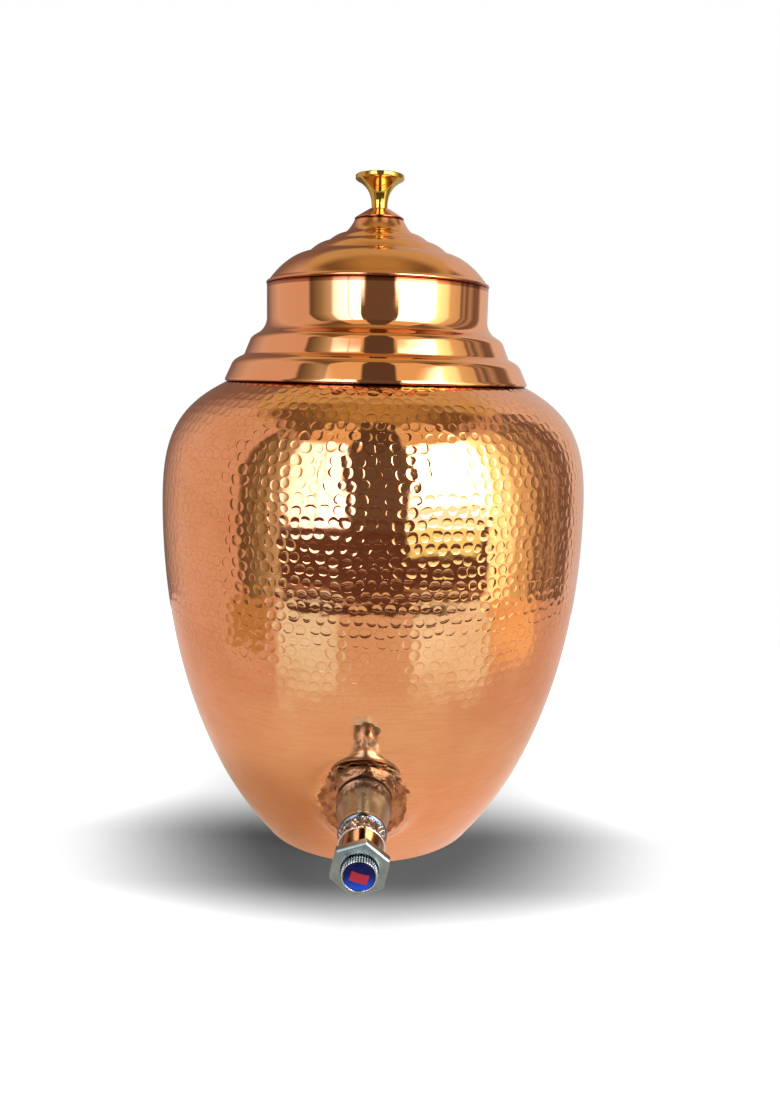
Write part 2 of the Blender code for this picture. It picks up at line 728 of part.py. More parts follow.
o_ring_outline = arc((stem_bore + O_RING_SECTION, 0), O_RING_SECTION, 0, 315, 7)
piece("stem_o_ring", turned(o_ring_outline, small_angles), RUBBER, tap_axis, ring_centre)

# Button and stem: pressed together until the button's boss meets the bonnet's floor

button_axis = axis("button_axis", (0, 0, bonnet_front), parent=tap_axis)
button_back = -BUTTON_DEPTH
skirt_inside = BUTTON_RADIUS - BUTTON_SKIRT_WALL
recess_floor = BUTTON_REACH - INSERT_EDGE
plate_back = recess_floor - BUTTON_PLATE
boss_end = floor_front - bonnet_front + BUTTON_TRAVEL + SEAM
stem_front = plate_back + BUTTON_PLATE / 4
insert_bore = INSERT_RADIUS + SEAM
knurl = knurled(BUTTON_RADIUS, KNURL_DEPTH)
button_outline = [
    (skirt_inside, button_back),
    (BUTTON_RADIUS - KNURL_DEPTH, button_back),
    (knurl, button_back + BUTTON_BEVEL),
    (knurl, BUTTON_REACH - BUTTON_BEVEL),
    (insert_bore + BUTTON_BEVEL, BUTTON_REACH),
    (insert_bore, BUTTON_REACH),
    (insert_bore, recess_floor),
    (0, recess_floor),
    (0, stem_front + SEAM),
    (stem_bore, stem_front + SEAM),
    (stem_bore, boss_end),
    (BUTTON_BOSS_RADIUS, boss_end),
    (BUTTON_BOSS_RADIUS, plate_back),
    (skirt_inside, plate_back),
]
piece("button_cap", turned(button_outline, even_angles(BUTTON_FACETS)), CHROME, button_axis)

insert_outline = [
    (0, 0),
    (INSERT_RADIUS, 0),
    *domed(INSERT_RADIUS, INSERT_EDGE, INSERT_CROWN, 4),
]
piece("button_insert", turned(insert_outline, small_angles), BLUE_PLASTIC, button_axis, recess_floor + SEAM)

washer_front = WEB_BACK - SEAM - bonnet_front
washer_back = washer_front - VALVE_WASHER_THICKNESS
valve_nut_back = washer_back - SEAM - VALVE_NUT_THICKNESS
tail_bore = STEM_TAIL_RADIUS + SEAM
stem_outline = [
    (0, valve_nut_back - TAIL_END),
    (STEM_TAIL_RADIUS, valve_nut_back - TAIL_END),
    (STEM_TAIL_RADIUS, washer_front + SEAM),
    (STEM_RADIUS, washer_front + SEAM),
    (STEM_RADIUS, stem_front),
    (0, stem_front),
]
piece("tap_stem", turned(stem_outline, small_angles), PLAIN_BRASS, button_axis)

valve_washer_outline = [
    (tail_bore, washer_back),
    (VALVE_WASHER_RADIUS, washer_back),
    (VALVE_WASHER_RADIUS, washer_front),
    (tail_bore, washer_front),
]
piece("valve_washer", turned(valve_washer_outline, small_angles), RUBBER, button_axis)

valve_nut_outline = [
    (tail_bore, valve_nut_back),
    (hexagon(VALVE_NUT_HALF_FLATS), valve_nut_back),
    (hexagon(VALVE_NUT_HALF_FLATS), washer_back - SEAM),
    (tail_bore, washer_back - SEAM),
]
piece("valve_retaining_nut", turned(valve_nut_outline, small_angles), PLAIN_BRASS, button_axis)

# Return spring: a helix between the bonnet's floor and the button's plate

spring_foot = floor_front + SEAM + SPRING_WIRE_RADIUS
spring_head = bonnet_front + plate_back - SEAM - SPRING_WIRE_RADIUS
spring_curve = bpy.data.curves.new("return_spring", "CURVE")
spring_curve.dimensions = "3D"
spring_curve.bevel_depth = SPRING_WIRE_RADIUS
spring_curve.bevel_resolution = 1
spring_curve.use_fill_caps = True
coil = spring_curve.splines.new("POLY")
last_point = SPRING_TURNS * SPRING_POINTS_PER_TURN
coil.points.add(last_point)
for index in range(last_point + 1):
    angle = 2 * math.pi * index / SPRING_POINTS_PER_TURN
    height = spring_foot + (spring_head - spring_foot) * index / last_point
    place = (SPRING_RADIUS * math.cos(angle), SPRING_RADIUS * math.sin(angle), height)
    coil.points[index].co = (*place, 1)
spring_curve.materials.append(material(STEEL))
return_spring = bpy.data.objects.new("return_spring", spring_curve)
return_spring.parent = tap_axis
bpy.context.scene.collection.objects.link(return_spring)
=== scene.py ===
"""Copper water dispenser: a hammered copper vessel on its flat base, a spun neck and a lift-off lid
with a brass knob, and a chromed push tap low on its front. Metres, +Z up, the tap towards -Y."""

import math

import bpy
import numpy as np
from mathutils import Matrix, Vector


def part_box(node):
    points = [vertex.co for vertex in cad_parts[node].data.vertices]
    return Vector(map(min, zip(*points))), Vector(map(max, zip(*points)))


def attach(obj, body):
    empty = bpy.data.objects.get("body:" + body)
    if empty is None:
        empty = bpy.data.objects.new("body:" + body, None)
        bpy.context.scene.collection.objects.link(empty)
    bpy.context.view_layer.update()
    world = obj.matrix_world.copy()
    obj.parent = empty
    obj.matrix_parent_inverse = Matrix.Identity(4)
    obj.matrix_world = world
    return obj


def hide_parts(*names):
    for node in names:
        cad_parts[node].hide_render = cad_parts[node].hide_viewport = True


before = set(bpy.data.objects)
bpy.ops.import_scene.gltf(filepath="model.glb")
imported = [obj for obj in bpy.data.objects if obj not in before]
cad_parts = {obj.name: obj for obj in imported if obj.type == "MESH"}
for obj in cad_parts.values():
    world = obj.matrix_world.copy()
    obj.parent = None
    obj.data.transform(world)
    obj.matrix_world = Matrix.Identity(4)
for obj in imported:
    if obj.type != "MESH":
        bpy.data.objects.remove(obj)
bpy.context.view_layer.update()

# Camera. It stands a hand's breadth to the right of straight ahead, a little above the shoulder,
# and looks down at the tap. It was held a little out of level, so the vessel leans to the right.

CAMERA_DISTANCE = 0.6275
CAMERA_HEIGHT = 0.3062
CAMERA_SIDE = math.radians(1.25)
CAMERA_YAW = math.radians(1.07)
CAMERA_PITCH = math.radians(10.54)
CAMERA_ROLL = math.radians(1.29)
FOCAL_SHARE = 930 / 1108
SENSOR = 36.0

level_forward = Vector((-math.sin(CAMERA_SIDE - CAMERA_YAW), math.cos(CAMERA_SIDE - CAMERA_YAW), 0))
level_right = Vector((level_forward.y, -level_forward.x, 0))
upright = Vector((0, 0, 1))
forward = level_forward * math.cos(CAMERA_PITCH) - upright * math.sin(CAMERA_PITCH)
level_up = level_right.cross(forward)
right = level_right * math.cos(CAMERA_ROLL) + level_up * math.sin(CAMERA_ROLL)
up = level_up * math.cos(CAMERA_ROLL) - level_right * math.sin(CAMERA_ROLL)
lens = bpy.data.cameras.new("camera")
lens.sensor_width = SENSOR
lens.lens = SENSOR * FOCAL_SHARE
lens.clip_start = 0.01
camera = bpy.data.objects.new("camera", lens)
camera.matrix_world = Matrix((
    (right.x, up.x, -forward.x, CAMERA_DISTANCE * math.sin(CAMERA_SIDE)),
    (right.y, up.y, -forward.y, -CAMERA_DISTANCE * math.cos(CAMERA_SIDE)),
    (right.z, up.z, -forward.z, CAMERA_HEIGHT),
    (0, 0, 0, 1),
))
bpy.context.scene.collection.objects.link(camera)
bpy.context.scene.camera = camera
bpy.context.scene.view_settings.view_transform = "Standard"


# Studio. A white table, a soft lamp straight above, and a pale room in which two tall soft boxes
# stand on either side of the dark place behind the camera. Polished copper shows all of it.


class Link:
    """A socket in a shader. Sums, products and powers of it add their own Math nodes."""

    def __init__(self, tree, socket=None):
        self.tree = tree
        self.socket = socket

    def add(self, kind, settings=None, values=None, output=0):
        """Add a node: its type, its settings, the values or links of its sockets, and its output."""
        node = self.tree.nodes.new("ShaderNode" + kind)
        for name, value in (settings or {}).items():
            if name == "stops":
                for extra in value[2:]:
                    node.color_ramp.elements.new(extra[0])
                for stop, (place, colour) in zip(node.color_ramp.elements, value):
                    stop.position = place
                    stop.color = (*colour, 1)
            else:
                setattr(node, name, value)
        for name, value in (values or {}).items():
            if isinstance(value, Link):
                self.tree.links.new(value.socket, node.inputs[name])
            elif node.inputs[name].type == "RGBA":
                node.inputs[name].default_value = (*value, 1)
            else:
                node.inputs[name].default_value = value
        return Link(self.tree, node.outputs[output])

    def maths(self, operation, *others):
        """A Math node on this socket, with the others as its next inputs."""
        values = {place: other for place, other in enumerate((self, *others))}
        return self.add("Math", {"operation": operation}, values)

    def __add__(self, other):
        return self.maths("ADD", other)

    __radd__ = __add__

    def __mul__(self, other):
        return self.maths("MULTIPLY", other)

    __rmul__ = __mul__

    def __sub__(self, other):
        return self.maths("SUBTRACT", other)

    def __rsub__(self, other):
        return self.add("Math", {"operation": "SUBTRACT"}, {0: other, 1: self})

    def __truediv__(self, other):
        return self.maths("DIVIDE", other)

    def __pow__(self, other):
        return self.maths("POWER", other)

    def step(self, start, end):
        """0 before start and 1 past end, with a smooth rise between them."""
        settings = {"interpolation_type": "SMOOTHSTEP"}
        return self.add("MapRange", settings, {0: self, 1: start, 2: end})

    def band(self, start, full, fade, end):
        """1 from full to fade, and 0 before start and past end."""
        return self.step(start, full) * (1.0 - self.step(fade, end))

    def dot(self, direction):
        """The length that this vector runs along a direction."""
        return self.add("VectorMath", {"operation": "DOT_PRODUCT"}, {0: self, 1: direction}, 1)

    def noise(self, scale, detail):
        """Even noise in space, round this place."""
        return self.add("TexNoise", None, {"Vector": self, "Scale": scale, "Detail": detail})

    def brushed(self, stretch, detail):
        """Noise drawn out in one direction: this place is multiplied by stretch first."""
        flow = self.add("VectorMath", {"operation": "MULTIPLY"}, {0: self, 1: stretch})
        return flow.noise(1.0, detail)

    def mix(self, first, second):
        """The first colour where this is 0, and the second where it is 1."""
        return self.add("Mix", {"data_type": "RGBA"}, {0: self, 6: first, 7: second}, 2)

    def split(self):
        """The X, Y and Z parts of this vector."""
        return [self.add("SeparateXYZ", None, {0: self}, output) for output in range(3)]


SIDE_BOX_LIGHT = 8.0
DARK_LIGHT = (0.165, 0.13, 0.105)
ROOM_ROUND = (  # azimuth from the camera's place, to the right, in degrees, and the light there
    (-180, (0.18, 0.11, 0.085)), (-150, (0.28, 0.18, 0.14)), (-122, (0.80, 0.64, 0.58)),
    (-73, (0.80, 0.62, 0.56)),
    (-70, (0.15, 0.11, 0.08)), (-58, (0.37, 0.34, 0.22)), (-46, (0.76, 0.74, 0.62)),
    (-43, (2.5, 2.6, 3.0)), (-29, (4.0, 4.4, 5.4)), (-28, (1.0, 0.8, 0.6)), (-26.5, (4.0, 4.4, 5.4)),
    (-13, (4.4, 4.8, 5.8)), (-11, DARK_LIGHT), (18, DARK_LIGHT),
    (20, (SIDE_BOX_LIGHT,) * 3), (60, (SIDE_BOX_LIGHT,) * 3), (64, (2.6, 2.5, 1.7)),
    (76, (1.7, 1.75, 1.25)),
    (80, (0.95, 0.88, 0.56)), (93, (0.80, 0.68, 0.46)), (95, (0.20, 0.15, 0.12)),
    (100, (0.55, 0.46, 0.38)), (103, (0.18, 0.13, 0.10)), (110, (0.55, 0.46, 0.38)),
    (117, (0.22, 0.16, 0.13)), (127, (0.26, 0.19, 0.16)), (133, (0.86, 0.76, 0.72)),
    (180, (0.60, 0.46, 0.40)),
)
LEFT_BOX = (-46.0, -43.0, -13.0, -11.0)  # azimuths where a soft box begins, is full, fades and ends
RIGHT_BOX = (18.0, 20.0, 60.0, 64.0)
DARK_MIDDLE = 3.5
LINTEL_LIGHT = (0.13, 0.095, 0.075)
TABLE_RADIUS = 0.655
TABLE_CORNERS = 96
TABLE_DROP = 0.0001
LAMP_SIZE = (1.35, 0.30)
LAMP_HEIGHT = 1.4
LAMP_POWER = 28.0

world = bpy.data.worlds.new("studio")
bpy.context.scene.world = world
world.use_nodes = True
world.node_tree.nodes.clear()
sky = Link(world.node_tree)
across, deep, high = sky.add("TexCoord").split()
azimuth = across.maths("ARCTAN2", deep * -1.0) * (180 / math.pi)
elevation = high.maths("ARCSINE") * (180 / math.pi)
stops = [
    ((place + 180) / 360, tuple(level / SIDE_BOX_LIGHT for level in light)) for place, light in ROOM_ROUND
]
round_the_room = sky.add("ValToRGB", {"stops": stops}, {0: (azimuth + 180.0) / 360.0})
round_the_room = sky.add(
    "VectorMath", {"operation": "SCALE"}, {0: round_the_room, 3: SIDE_BOX_LIGHT}
)
from_middle = (azimuth - DARK_MIDDLE).maths("ABSOLUTE")
doorway = (1.0 - from_middle.step(18.5, 20.0)) * elevation.step(5.0, 10.0)
room = doorway.mix(round_the_room, DARK_LIGHT)

facing = 1.0 - across.maths("ABSOLUTE").step(0.48, 0.64)
ceiling_light = elevation.step(62.0, 84.0).mix((0.22, 0.155, 0.09), (0.56, 0.42, 0.165))
ceiling_light = deep.step(0.16, 0.36).mix(ceiling_light, (0.71, 0.60, 0.32))
ceiling_light = deep.step(0.56, 0.70).mix(ceiling_light, (0.58, 0.47, 0.30))
ceiling_light = facing.mix((0.76, 0.58, 0.46), ceiling_light)
windows = azimuth.band(*LEFT_BOX) + azimuth.band(*RIGHT_BOX)
window_top = windows.maths("MINIMUM", 1.0) * elevation.step(41.0, 48.0)
room = window_top.mix(room, (0.95, 0.76, 0.46))
ceiling = elevation.step(44.0, 50.0) * (1.0 - window_top * (1.0 - elevation.step(66.0, 74.0)))
room = ceiling.mix(room, ceiling_light)
lintel = (1.0 - from_middle.step(14.0, 18.0)) * elevation.band(42.0, 46.0, 73.0, 80.0)
room = lintel.mix(room, LINTEL_LIGHT)

shelf = elevation.band(-18.6, -18.2, -17.4, -17.0) * from_middle.step(13.0, 15.0)
below_light = shelf.mix((0.15, 0.08, 0.062), (0.52, 0.38, 0.31))
sill = azimuth.band(18.0, 20.0, 56.0, 60.0) * elevation.step(-11.5, -10.0)
below_light = sill.mix(below_light, (1.25, 1.55, 0.85))
below = (1.0 - elevation.step(-6.5, -5.0)) * azimuth.band(-48.0, -46.0, 62.0, 66.0)
room = below.mix(room, below_light)
glare = azimuth.band(18.0, 20.0, 60.0, 63.0) * elevation.band(-6.5, -5.0, 0.0, 2.5)
room = glare.mix(room, (1.7, 2.0, 2.2))
is_camera, is_diffuse, diffused = [
    sky.add("LightPath", None, None, name) for name in ("Is Camera Ray", "Is Diffuse Ray", "Diffuse Depth")
]
room = diffused.step(0.1, 0.9).mix(room, (0.10, 0.10, 0.10))
room = is_diffuse.mix(room, (0.12, 0.12, 0.12))
room = is_camera.mix(room, (1.0, 1.0, 1.0))
background = sky.add("Background", None, {"Color": room, "Strength": 1.0})
world_output = world.node_tree.nodes.new("ShaderNodeOutputWorld")
world.node_tree.links.new(background.socket, world_output.inputs["Surface"])

table_mesh = bpy.data.meshes.new("table")
turns = np.linspace(0, 2 * np.pi, TABLE_CORNERS, endpoint=False)
table_points = np.stack(
    (TABLE_RADIUS * np.cos(turns), TABLE_RADIUS * np.sin(turns), np.full_like(turns, -TABLE_DROP)), axis=1
)
table_mesh.from_pydata(table_points.tolist(), [], [list(range(TABLE_CORNERS))])
table = bpy.data.objects.new("table", table_mesh)
bpy.context.scene.collection.objects.link(table)
table_finish = bpy.data.materials.new("white_table")
table_finish.use_nodes = True
table_finish.node_tree.nodes.clear()
paper = Link(table_finish.node_tree)
is_camera, is_glossy, diffused = [
    paper.add("LightPath", None, None, name) for name in ("Is Camera Ray", "Is Glossy Ray", "Diffuse Depth")
]
place = paper.add("TexCoord", None, None, "Object")
x, y, z = place.split()
reach = (x * x + y * y) ** 0.5
bearing = x.maths("ARCTAN2", y * -1.0) * (180 / math.pi)
ragged = (place.noise(16.0, 2.0) - 0.5) * 0.16
edge = reach + ragged
# Painted reflection: for reflection rays the floor gives off its own light, a painted pattern of bright
# beams, darker patches, a dark ring and a darker place by the foot, instead of its lit colour.
mirrored = x.maths("ABSOLUTE").step(0.10, 0.26).mix((0.85, 0.75, 0.64), (0.80, 0.62, 0.56))
beams = bearing.band(-45.0, -41.0, -16.0, -12.0) + bearing.band(18.0, 22.0, 56.0, 62.0)
beam = (beams * edge.step(0.24, 0.37)).maths("MINIMUM", 1.0)
mirrored = beam.mix(mirrored, x.step(-0.05, 0.05).mix((0.98, 1.20, 1.24), (1.10, 1.28, 1.26)))
dusk = bearing.band(-72.0, -69.0, -50.0, -46.0) * edge.step(0.40, 0.43)
mirrored = dusk.mix(mirrored, (0.60, 0.42, 0.20))
ember = bearing.band(58.0, 62.0, 88.0, 92.0) * edge.step(0.34, 0.42)
mirrored = ember.mix(mirrored, (1.12, 0.86, 0.52))
rim = (reach + ragged * 0.12).band(0.560, 0.566, 0.630, 0.636) * bearing.band(-38.0, -34.0, 30.0, 50.0)
mirrored = rim.mix(mirrored, (0.10, 0.05, 0.035))
at_foot = x.step(-0.06, 0.01).mix((0.56, 0.40, 0.29), (0.94, 0.74, 0.66))
mirrored = (1.0 - reach.step(0.11, 0.19)).mix(mirrored, at_foot)
# Painted shadow: the floor's own colour is darker close to the vessel, round its foot, on top of the lamp's
# real shadow.
white = reach.step(0.09, 0.21).mix((0.23, 0.23, 0.23), (0.72, 0.72, 0.72))
diffuse = paper.add("BsdfDiffuse", None, {"Color": is_glossy.mix(white, (0.05, 0.05, 0.05))})
# Painted light: the floor glows for the camera in front of and behind a band round the vessel, which wipes
# out its real shadow there.
painted_light_zone = (y.step(-0.045, 0.040) + (1.0 - y.step(-0.165, -0.095))).maths("MINIMUM", 1.0)
glow = paper.add("Emission", None, {"Color": (1, 1, 1), "Strength": is_camera * (painted_light_zone * 0.70 + 0.04)})
shine = is_glossy * (1.0 - diffused.step(0.1, 0.9))
shown = paper.add("Emission", None, {"Color": mirrored, "Strength": 1.0})
table_light = paper.add("AddShader", None, {0: diffuse, 1: glow})
table_light = paper.add("MixShader", None, {0: shine, 1: table_light, 2: shown})
table_output = table_finish.node_tree.nodes.new("ShaderNodeOutputMaterial")
table_finish.node_tree.links.new(table_light.socket, table_output.inputs["Surface"])
table_mesh.materials.append(table_finish)

lamp_light = bpy.data.lights.new("overhead_lamp", "AREA")
lamp_light.shape = "RECTANGLE"
lamp_light.size, lamp_light.size_y = LAMP_SIZE
lamp_light.energy = LAMP_POWER
lamp = bpy.data.objects.new("overhead_lamp", lamp_light)
lamp.location = (0, 0, LAMP_HEIGHT)
lamp.visible_glossy = False
lamp.visible_camera = False
bpy.context.scene.collection.objects.link(lamp)


# Vessel. One copper sheet raised to a tall pot and hammered all over its upper part, with a flat
# base and an upright lip that the collar is soldered over. It is pressed flat round the tap.

COPPER = (0.84, 0.40, 0.19)
COPPER_WALL = 0.0012
BASE_RADIUS = 0.0725
BASE_ROUNDING = 0.0015
BELLY_RADIUS = 0.13957
BELLY_HEIGHT = 0.217
FLANK_HANDLES = (0.603, 0.219, 0.428)  # shares of the flank's width, height and height
SHOULDER_HANDLES = (0.498, 0.892, 0.216)  # shares of the shoulder's rise, width and rise
SHOULDER_RADIUS = 0.1003
SHOULDER_HEIGHT = 0.3025
LIP_RADIUS = 0.0955
LIP_HEIGHT = 0.0030
VESSEL_COLUMNS = 360
ROW_SPACING = 0.0017
TAP_TILT = math.radians(5.0)
TAP_ORIGIN = np.array((0, -0.110, 0.058))
TAP_ALONG = np.array((0, -math.cos(TAP_TILT), -math.sin(TAP_TILT)))
SEAT_FACE = -0.0021
SEAT_RADIUS = 0.0195
SEAT_BLEND = 0.0190
HAMMER_PITCH = 0.0067
HAMMER_ROUND = 0.0031
HAMMER_DEPTH = 0.00014
HAMMER_START = (0.088, 0.186)  # heights where the marks begin and where they are full


def bezier(start, first_handle, second_handle, end, count):
    """Points on a cubic curve: its four corners weighted by the terms of (rest + share) cubed."""
    share = np.linspace(0, 1, count)[:, None]
    rest = 1 - share
    corners = [np.asarray(corner, float) for corner in (start, first_handle, second_handle, end)]
    weights = (rest**3, 3 * rest**2 * share, 3 * rest * share**2, share**3)
    return sum(weight * corner for weight, corner in zip(weights, corners))


def joined(*runs):
    """One outline from several runs of (radius, height), without the points that they share."""
    outline = np.concatenate([np.atleast_2d(np.asarray(run, float)) for run in runs])
    apart = np.linalg.norm(np.diff(outline, axis=0), axis=1) > 1e-7
    return outline[np.concatenate(([True], apart))]


def spaced(outline, spacing):
    """The outline at even steps: the length run so far is cut in equal parts."""
    run = np.concatenate(([0], np.cumsum(np.linalg.norm(np.diff(outline, axis=0), axis=1))))
    steps = np.linspace(0, run[-1], max(2, int(round(run[-1] / spacing)) + 1))
    return np.stack([np.interp(steps, run, outline[:, side]) for side in (0, 1)], axis=1)


def beside(outline, distance):
    """The outline moved sideways: each point goes to the left of its own direction."""
    along = np.gradient(outline, axis=0)
    along /= np.linalg.norm(along, axis=1)[:, None]
    return outline + distance * np.stack((-along[:, 1], along[:, 0]), axis=1)


def turned(outline, columns, start=math.pi / 2):
    """Points of an outline turned about Z: (radius cos angle, radius sin angle, height)."""
    angles = start + np.linspace(0, 2 * np.pi, columns, endpoint=False)
    radius, height = outline[:, :1], outline[:, 1:]
    return np.stack(
        (radius * np.cos(angles), radius * np.sin(angles), height + 0 * angles), axis=2
    )


def skin(name, points, loop=False, sharp=math.radians(40)):
    """A closed skin on a grid of points, whose rows follow a profile and whose columns go round.

    Each face joins a point with the next column and the next row. A profile that is a loop joins
    its last row to its first. Otherwise the first and the last row are one point each, where the
    faces are triangles. The map sheet holds turns round the axis and the length along the profile.
    """
    rows, columns = points.shape[:2]
    number = np.arange(rows * columns).reshape(rows, columns)
    length = np.concatenate(([0], np.cumsum(np.linalg.norm(np.diff(points[:, 0], axis=0), axis=1))))
    if loop:
        number = np.concatenate((number, number[:1]))
        closing = np.linalg.norm(points[-1, 0] - points[0, 0])
        length = np.concatenate((length, [length[-1] + closing]))
    number = np.concatenate((number, number[:, :1]), axis=1)
    corners = np.stack((number[:-1, :-1], number[:-1, 1:], number[1:, 1:], number[1:, :-1]), axis=2)
    turn = np.arange(columns + 1) / columns
    across_map, along_map = np.meshgrid(turn, length)
    places = np.stack((across_map, along_map), axis=2)
    maps = np.stack((places[:-1, :-1], places[:-1, 1:], places[1:, 1:], places[1:, :-1]), axis=2)
    if loop:
        faces = corners.reshape(-1, 4).tolist()
        sheet = maps.reshape(-1, 2)
        vertices = points.reshape(-1, 3)
    else:
        corners = np.where(corners < columns, 0, corners - columns + 1)
        last = (rows - 2) * columns + 1
        corners = np.minimum(corners, last)
        faces = corners[0][:, [0, 2, 3]].tolist()
        faces += corners[1:-1].reshape(-1, 4).tolist()
        faces += corners[-1][:, [0, 1, 2]].tolist()
        sheet = np.concatenate((
            maps[0][:, [0, 2, 3]].reshape(-1, 2),
            maps[1:-1].reshape(-1, 2),
            maps[-1][:, [0, 1, 2]].reshape(-1, 2),
        ))
        vertices = np.concatenate((points[0, :1], points[1:-1].reshape(-1, 3), points[-1, :1]))
    mesh = bpy.data.meshes.new(name)
    mesh.from_pydata(vertices.tolist(), [], faces)
    mesh.uv_layers.new(name="sheet").data.foreach_set("uv", sheet.ravel())
    mesh.shade_smooth()
    mesh.set_sharp_from_angle(angle=sharp)
    piece = bpy.data.objects.new(name, mesh)
    bpy.context.scene.collection.objects.link(piece)
    return piece


def finish(name, **sockets):
    """A material with one Principled shader, its constants on the shader's own sockets."""
    made = bpy.data.materials.new(name)
    made.use_nodes = True
    shader = made.node_tree.nodes["Principled BSDF"]
    for socket, value in sockets.items():
        target = shader.inputs[socket.replace("_", " ").title().replace("Ior", "IOR")]
        target.default_value = (*value, 1) if target.type == "RGBA" else value
    return made, shader, Link(made.node_tree)


def feed(shader, **links):
    """Join links to the shader's sockets, and a height in metres to its normal through a bump."""
    for socket, link in links.items():
        if socket == "height":
            link = link.add("Bump", None, {"Strength": 1.0, "Distance": 1.0, "Height": link})
            socket = "normal"
        link.tree.links.new(link.socket, shader.inputs[socket.replace("_", " ").title()])


base_corner = np.array((BASE_RADIUS + BASE_ROUNDING, BASE_ROUNDING))
flank_width = BELLY_RADIUS - base_corner[0]
flank_height = BELLY_HEIGHT - base_corner[1]
flank = bezier(
    base_corner,
    base_corner + (FLANK_HANDLES[0] * flank_width, FLANK_HANDLES[1] * flank_height),
    (BELLY_RADIUS, BELLY_HEIGHT - FLANK_HANDLES[2] * flank_height),
    (BELLY_RADIUS, BELLY_HEIGHT),
    200,
)
shoulder_width = BELLY_RADIUS - SHOULDER_RADIUS
shoulder_rise = SHOULDER_HEIGHT - BELLY_HEIGHT
last_width = SHOULDER_HANDLES[1] * shoulder_width
last_rise = SHOULDER_HANDLES[2] * shoulder_rise
shoulder = bezier(
    (BELLY_RADIUS, BELLY_HEIGHT),
    (BELLY_RADIUS, BELLY_HEIGHT + SHOULDER_HANDLES[0] * shoulder_rise),
    (SHOULDER_RADIUS + last_width, SHOULDER_HEIGHT - last_rise),
    (SHOULDER_RADIUS, SHOULDER_HEIGHT),
    120,
)
lip_foot = SHOULDER_HEIGHT + (SHOULDER_RADIUS - LIP_RADIUS) * last_rise / last_width
base_round = bezier((BASE_RADIUS, 0), (base_corner[0], 0), base_corner, base_corner, 6)
bulk = joined(base_round, flank, shoulder, (LIP_RADIUS, lip_foot), (LIP_RADIUS, lip_foot + LIP_HEIGHT))
outside = spaced(bulk, ROW_SPACING)
inside = beside(spaced(bulk, 4 * ROW_SPACING), COPPER_WALL)[::-1]
inside[0] = (LIP_RADIUS - COPPER_WALL, lip_foot + LIP_HEIGHT)
inside[-1] = (BASE_RADIUS - COPPER_WALL, COPPER_WALL)
vessel_outline = joined(
    (0, 0), (BASE_RADIUS / 2, 0), outside, inside, (BASE_RADIUS / 2, COPPER_WALL), (0, COPPER_WALL)
)
vessel_points = turned(vessel_outline, VESSEL_COLUMNS)
outer_rows = slice(2, 2 + len(outside))
wall_depth = np.zeros(len(vessel_outline))
wall_depth[outer_rows.stop:] = COPPER_WALL
from_tap = vessel_points - TAP_ORIGIN
along_tap = from_tap @ TAP_ALONG
away = np.linalg.norm(from_tap - along_tap[..., None] * TAP_ALONG, axis=2)
share = np.clip((away - SEAT_RADIUS) / SEAT_BLEND, 0, 1)
pressed = np.where(along_tap > -0.055, 1 - share**3 * (10 - 15 * share + 6 * share**2), 0)
push = (SEAT_FACE - wall_depth[:, None] - along_tap) * pressed
vessel_points += push[..., None] * TAP_ALONG
vessel = skin("hammered_vessel", vessel_points)

run = np.concatenate(([0], np.cumsum(np.linalg.norm(np.diff(vessel_outline, axis=0), axis=1))))
hammer_rows = int(run[outer_rows][-1] / HAMMER_PITCH) + 1
row_shares = np.linspace(0, 1, 30)
row_radius = np.interp(row_shares * hammer_rows * HAMMER_PITCH, run[outer_rows], outside[:, 0])
row_counts = 2 * np.pi * row_radius / (HAMMER_PITCH * 1.04)
count_scale = row_counts.max() * 1.02
count_stops = [(place, (level / count_scale,) * 3) for place, level in zip(row_shares, row_counts)]
dimple_start, dimple_full = np.interp(HAMMER_START, outside[:, 1], run[outer_rows])
dimple_end = run[outer_rows][-1] - 0.010

hammered, shader, sheet = finish("hammered_copper", base_color=COPPER, metallic=1.0, roughness=0.12)
turn, along = sheet.add("UVMap", {"uv_map": "sheet"}).split()[:2]
place = sheet.add("TexCoord", None, None, "Object")
x, y, z = place.split()
reach_out = (x * x + y * y) ** 0.5
girth = reach_out * (2 * math.pi)
uneven = place.noise(55.0, 2.0)
along = along + (place.noise(38.0, 1.0) - 0.5) * 0.0036
row = (along / HAMMER_PITCH).maths("FLOOR")
counts = sheet.add("ValToRGB", {"stops": count_stops}, {0: row / hammer_rows})
count = (counts * count_scale).maths("ROUND")
row_noise = sheet.add("TexWhiteNoise", {"noise_dimensions": "1D"}, {"W": row})
across_row = turn * count + row_noise + (uneven - 0.5) * 0.9
column = across_row.maths("FLOOR")
around = column.maths("FLOORED_MODULO", count)
cell = sheet.add("CombineXYZ", None, {0: around, 1: row})
chance = sheet.add("TexWhiteNoise", {"noise_dimensions": "2D"}, {"Vector": cell}, 1)
chance_x, chance_y, chance_size = chance.split()
blow_x = (across_row - column - 0.5 - (chance_x - 0.5) * 0.30) * girth / count
blow_y = (along / HAMMER_PITCH - row - 0.5 - (chance_y - 0.5) * 0.30) * HAMMER_PITCH
blow_round = chance_size * (0.34 * HAMMER_ROUND) + 0.76 * HAMMER_ROUND
blow = (blow_x * blow_x + blow_y * blow_y) ** 0.5 / blow_round
bowl = (1.0 - blow ** 3.0).maths("MAXIMUM", 0.0)
struck = along.band(dimple_start, dimple_full, dimple_end, dimple_end + 0.008)
ripple = place.noise(320.0, 1.0)
streak = place.brushed((60.0, 60.0, 900.0), 3.0)
hammering = bowl * struck * (chance_size * 0.5 + 0.75) * -HAMMER_DEPTH
height = hammering + (uneven * 0.00022) + (ripple * 0.000010) + (streak * 0.000003)
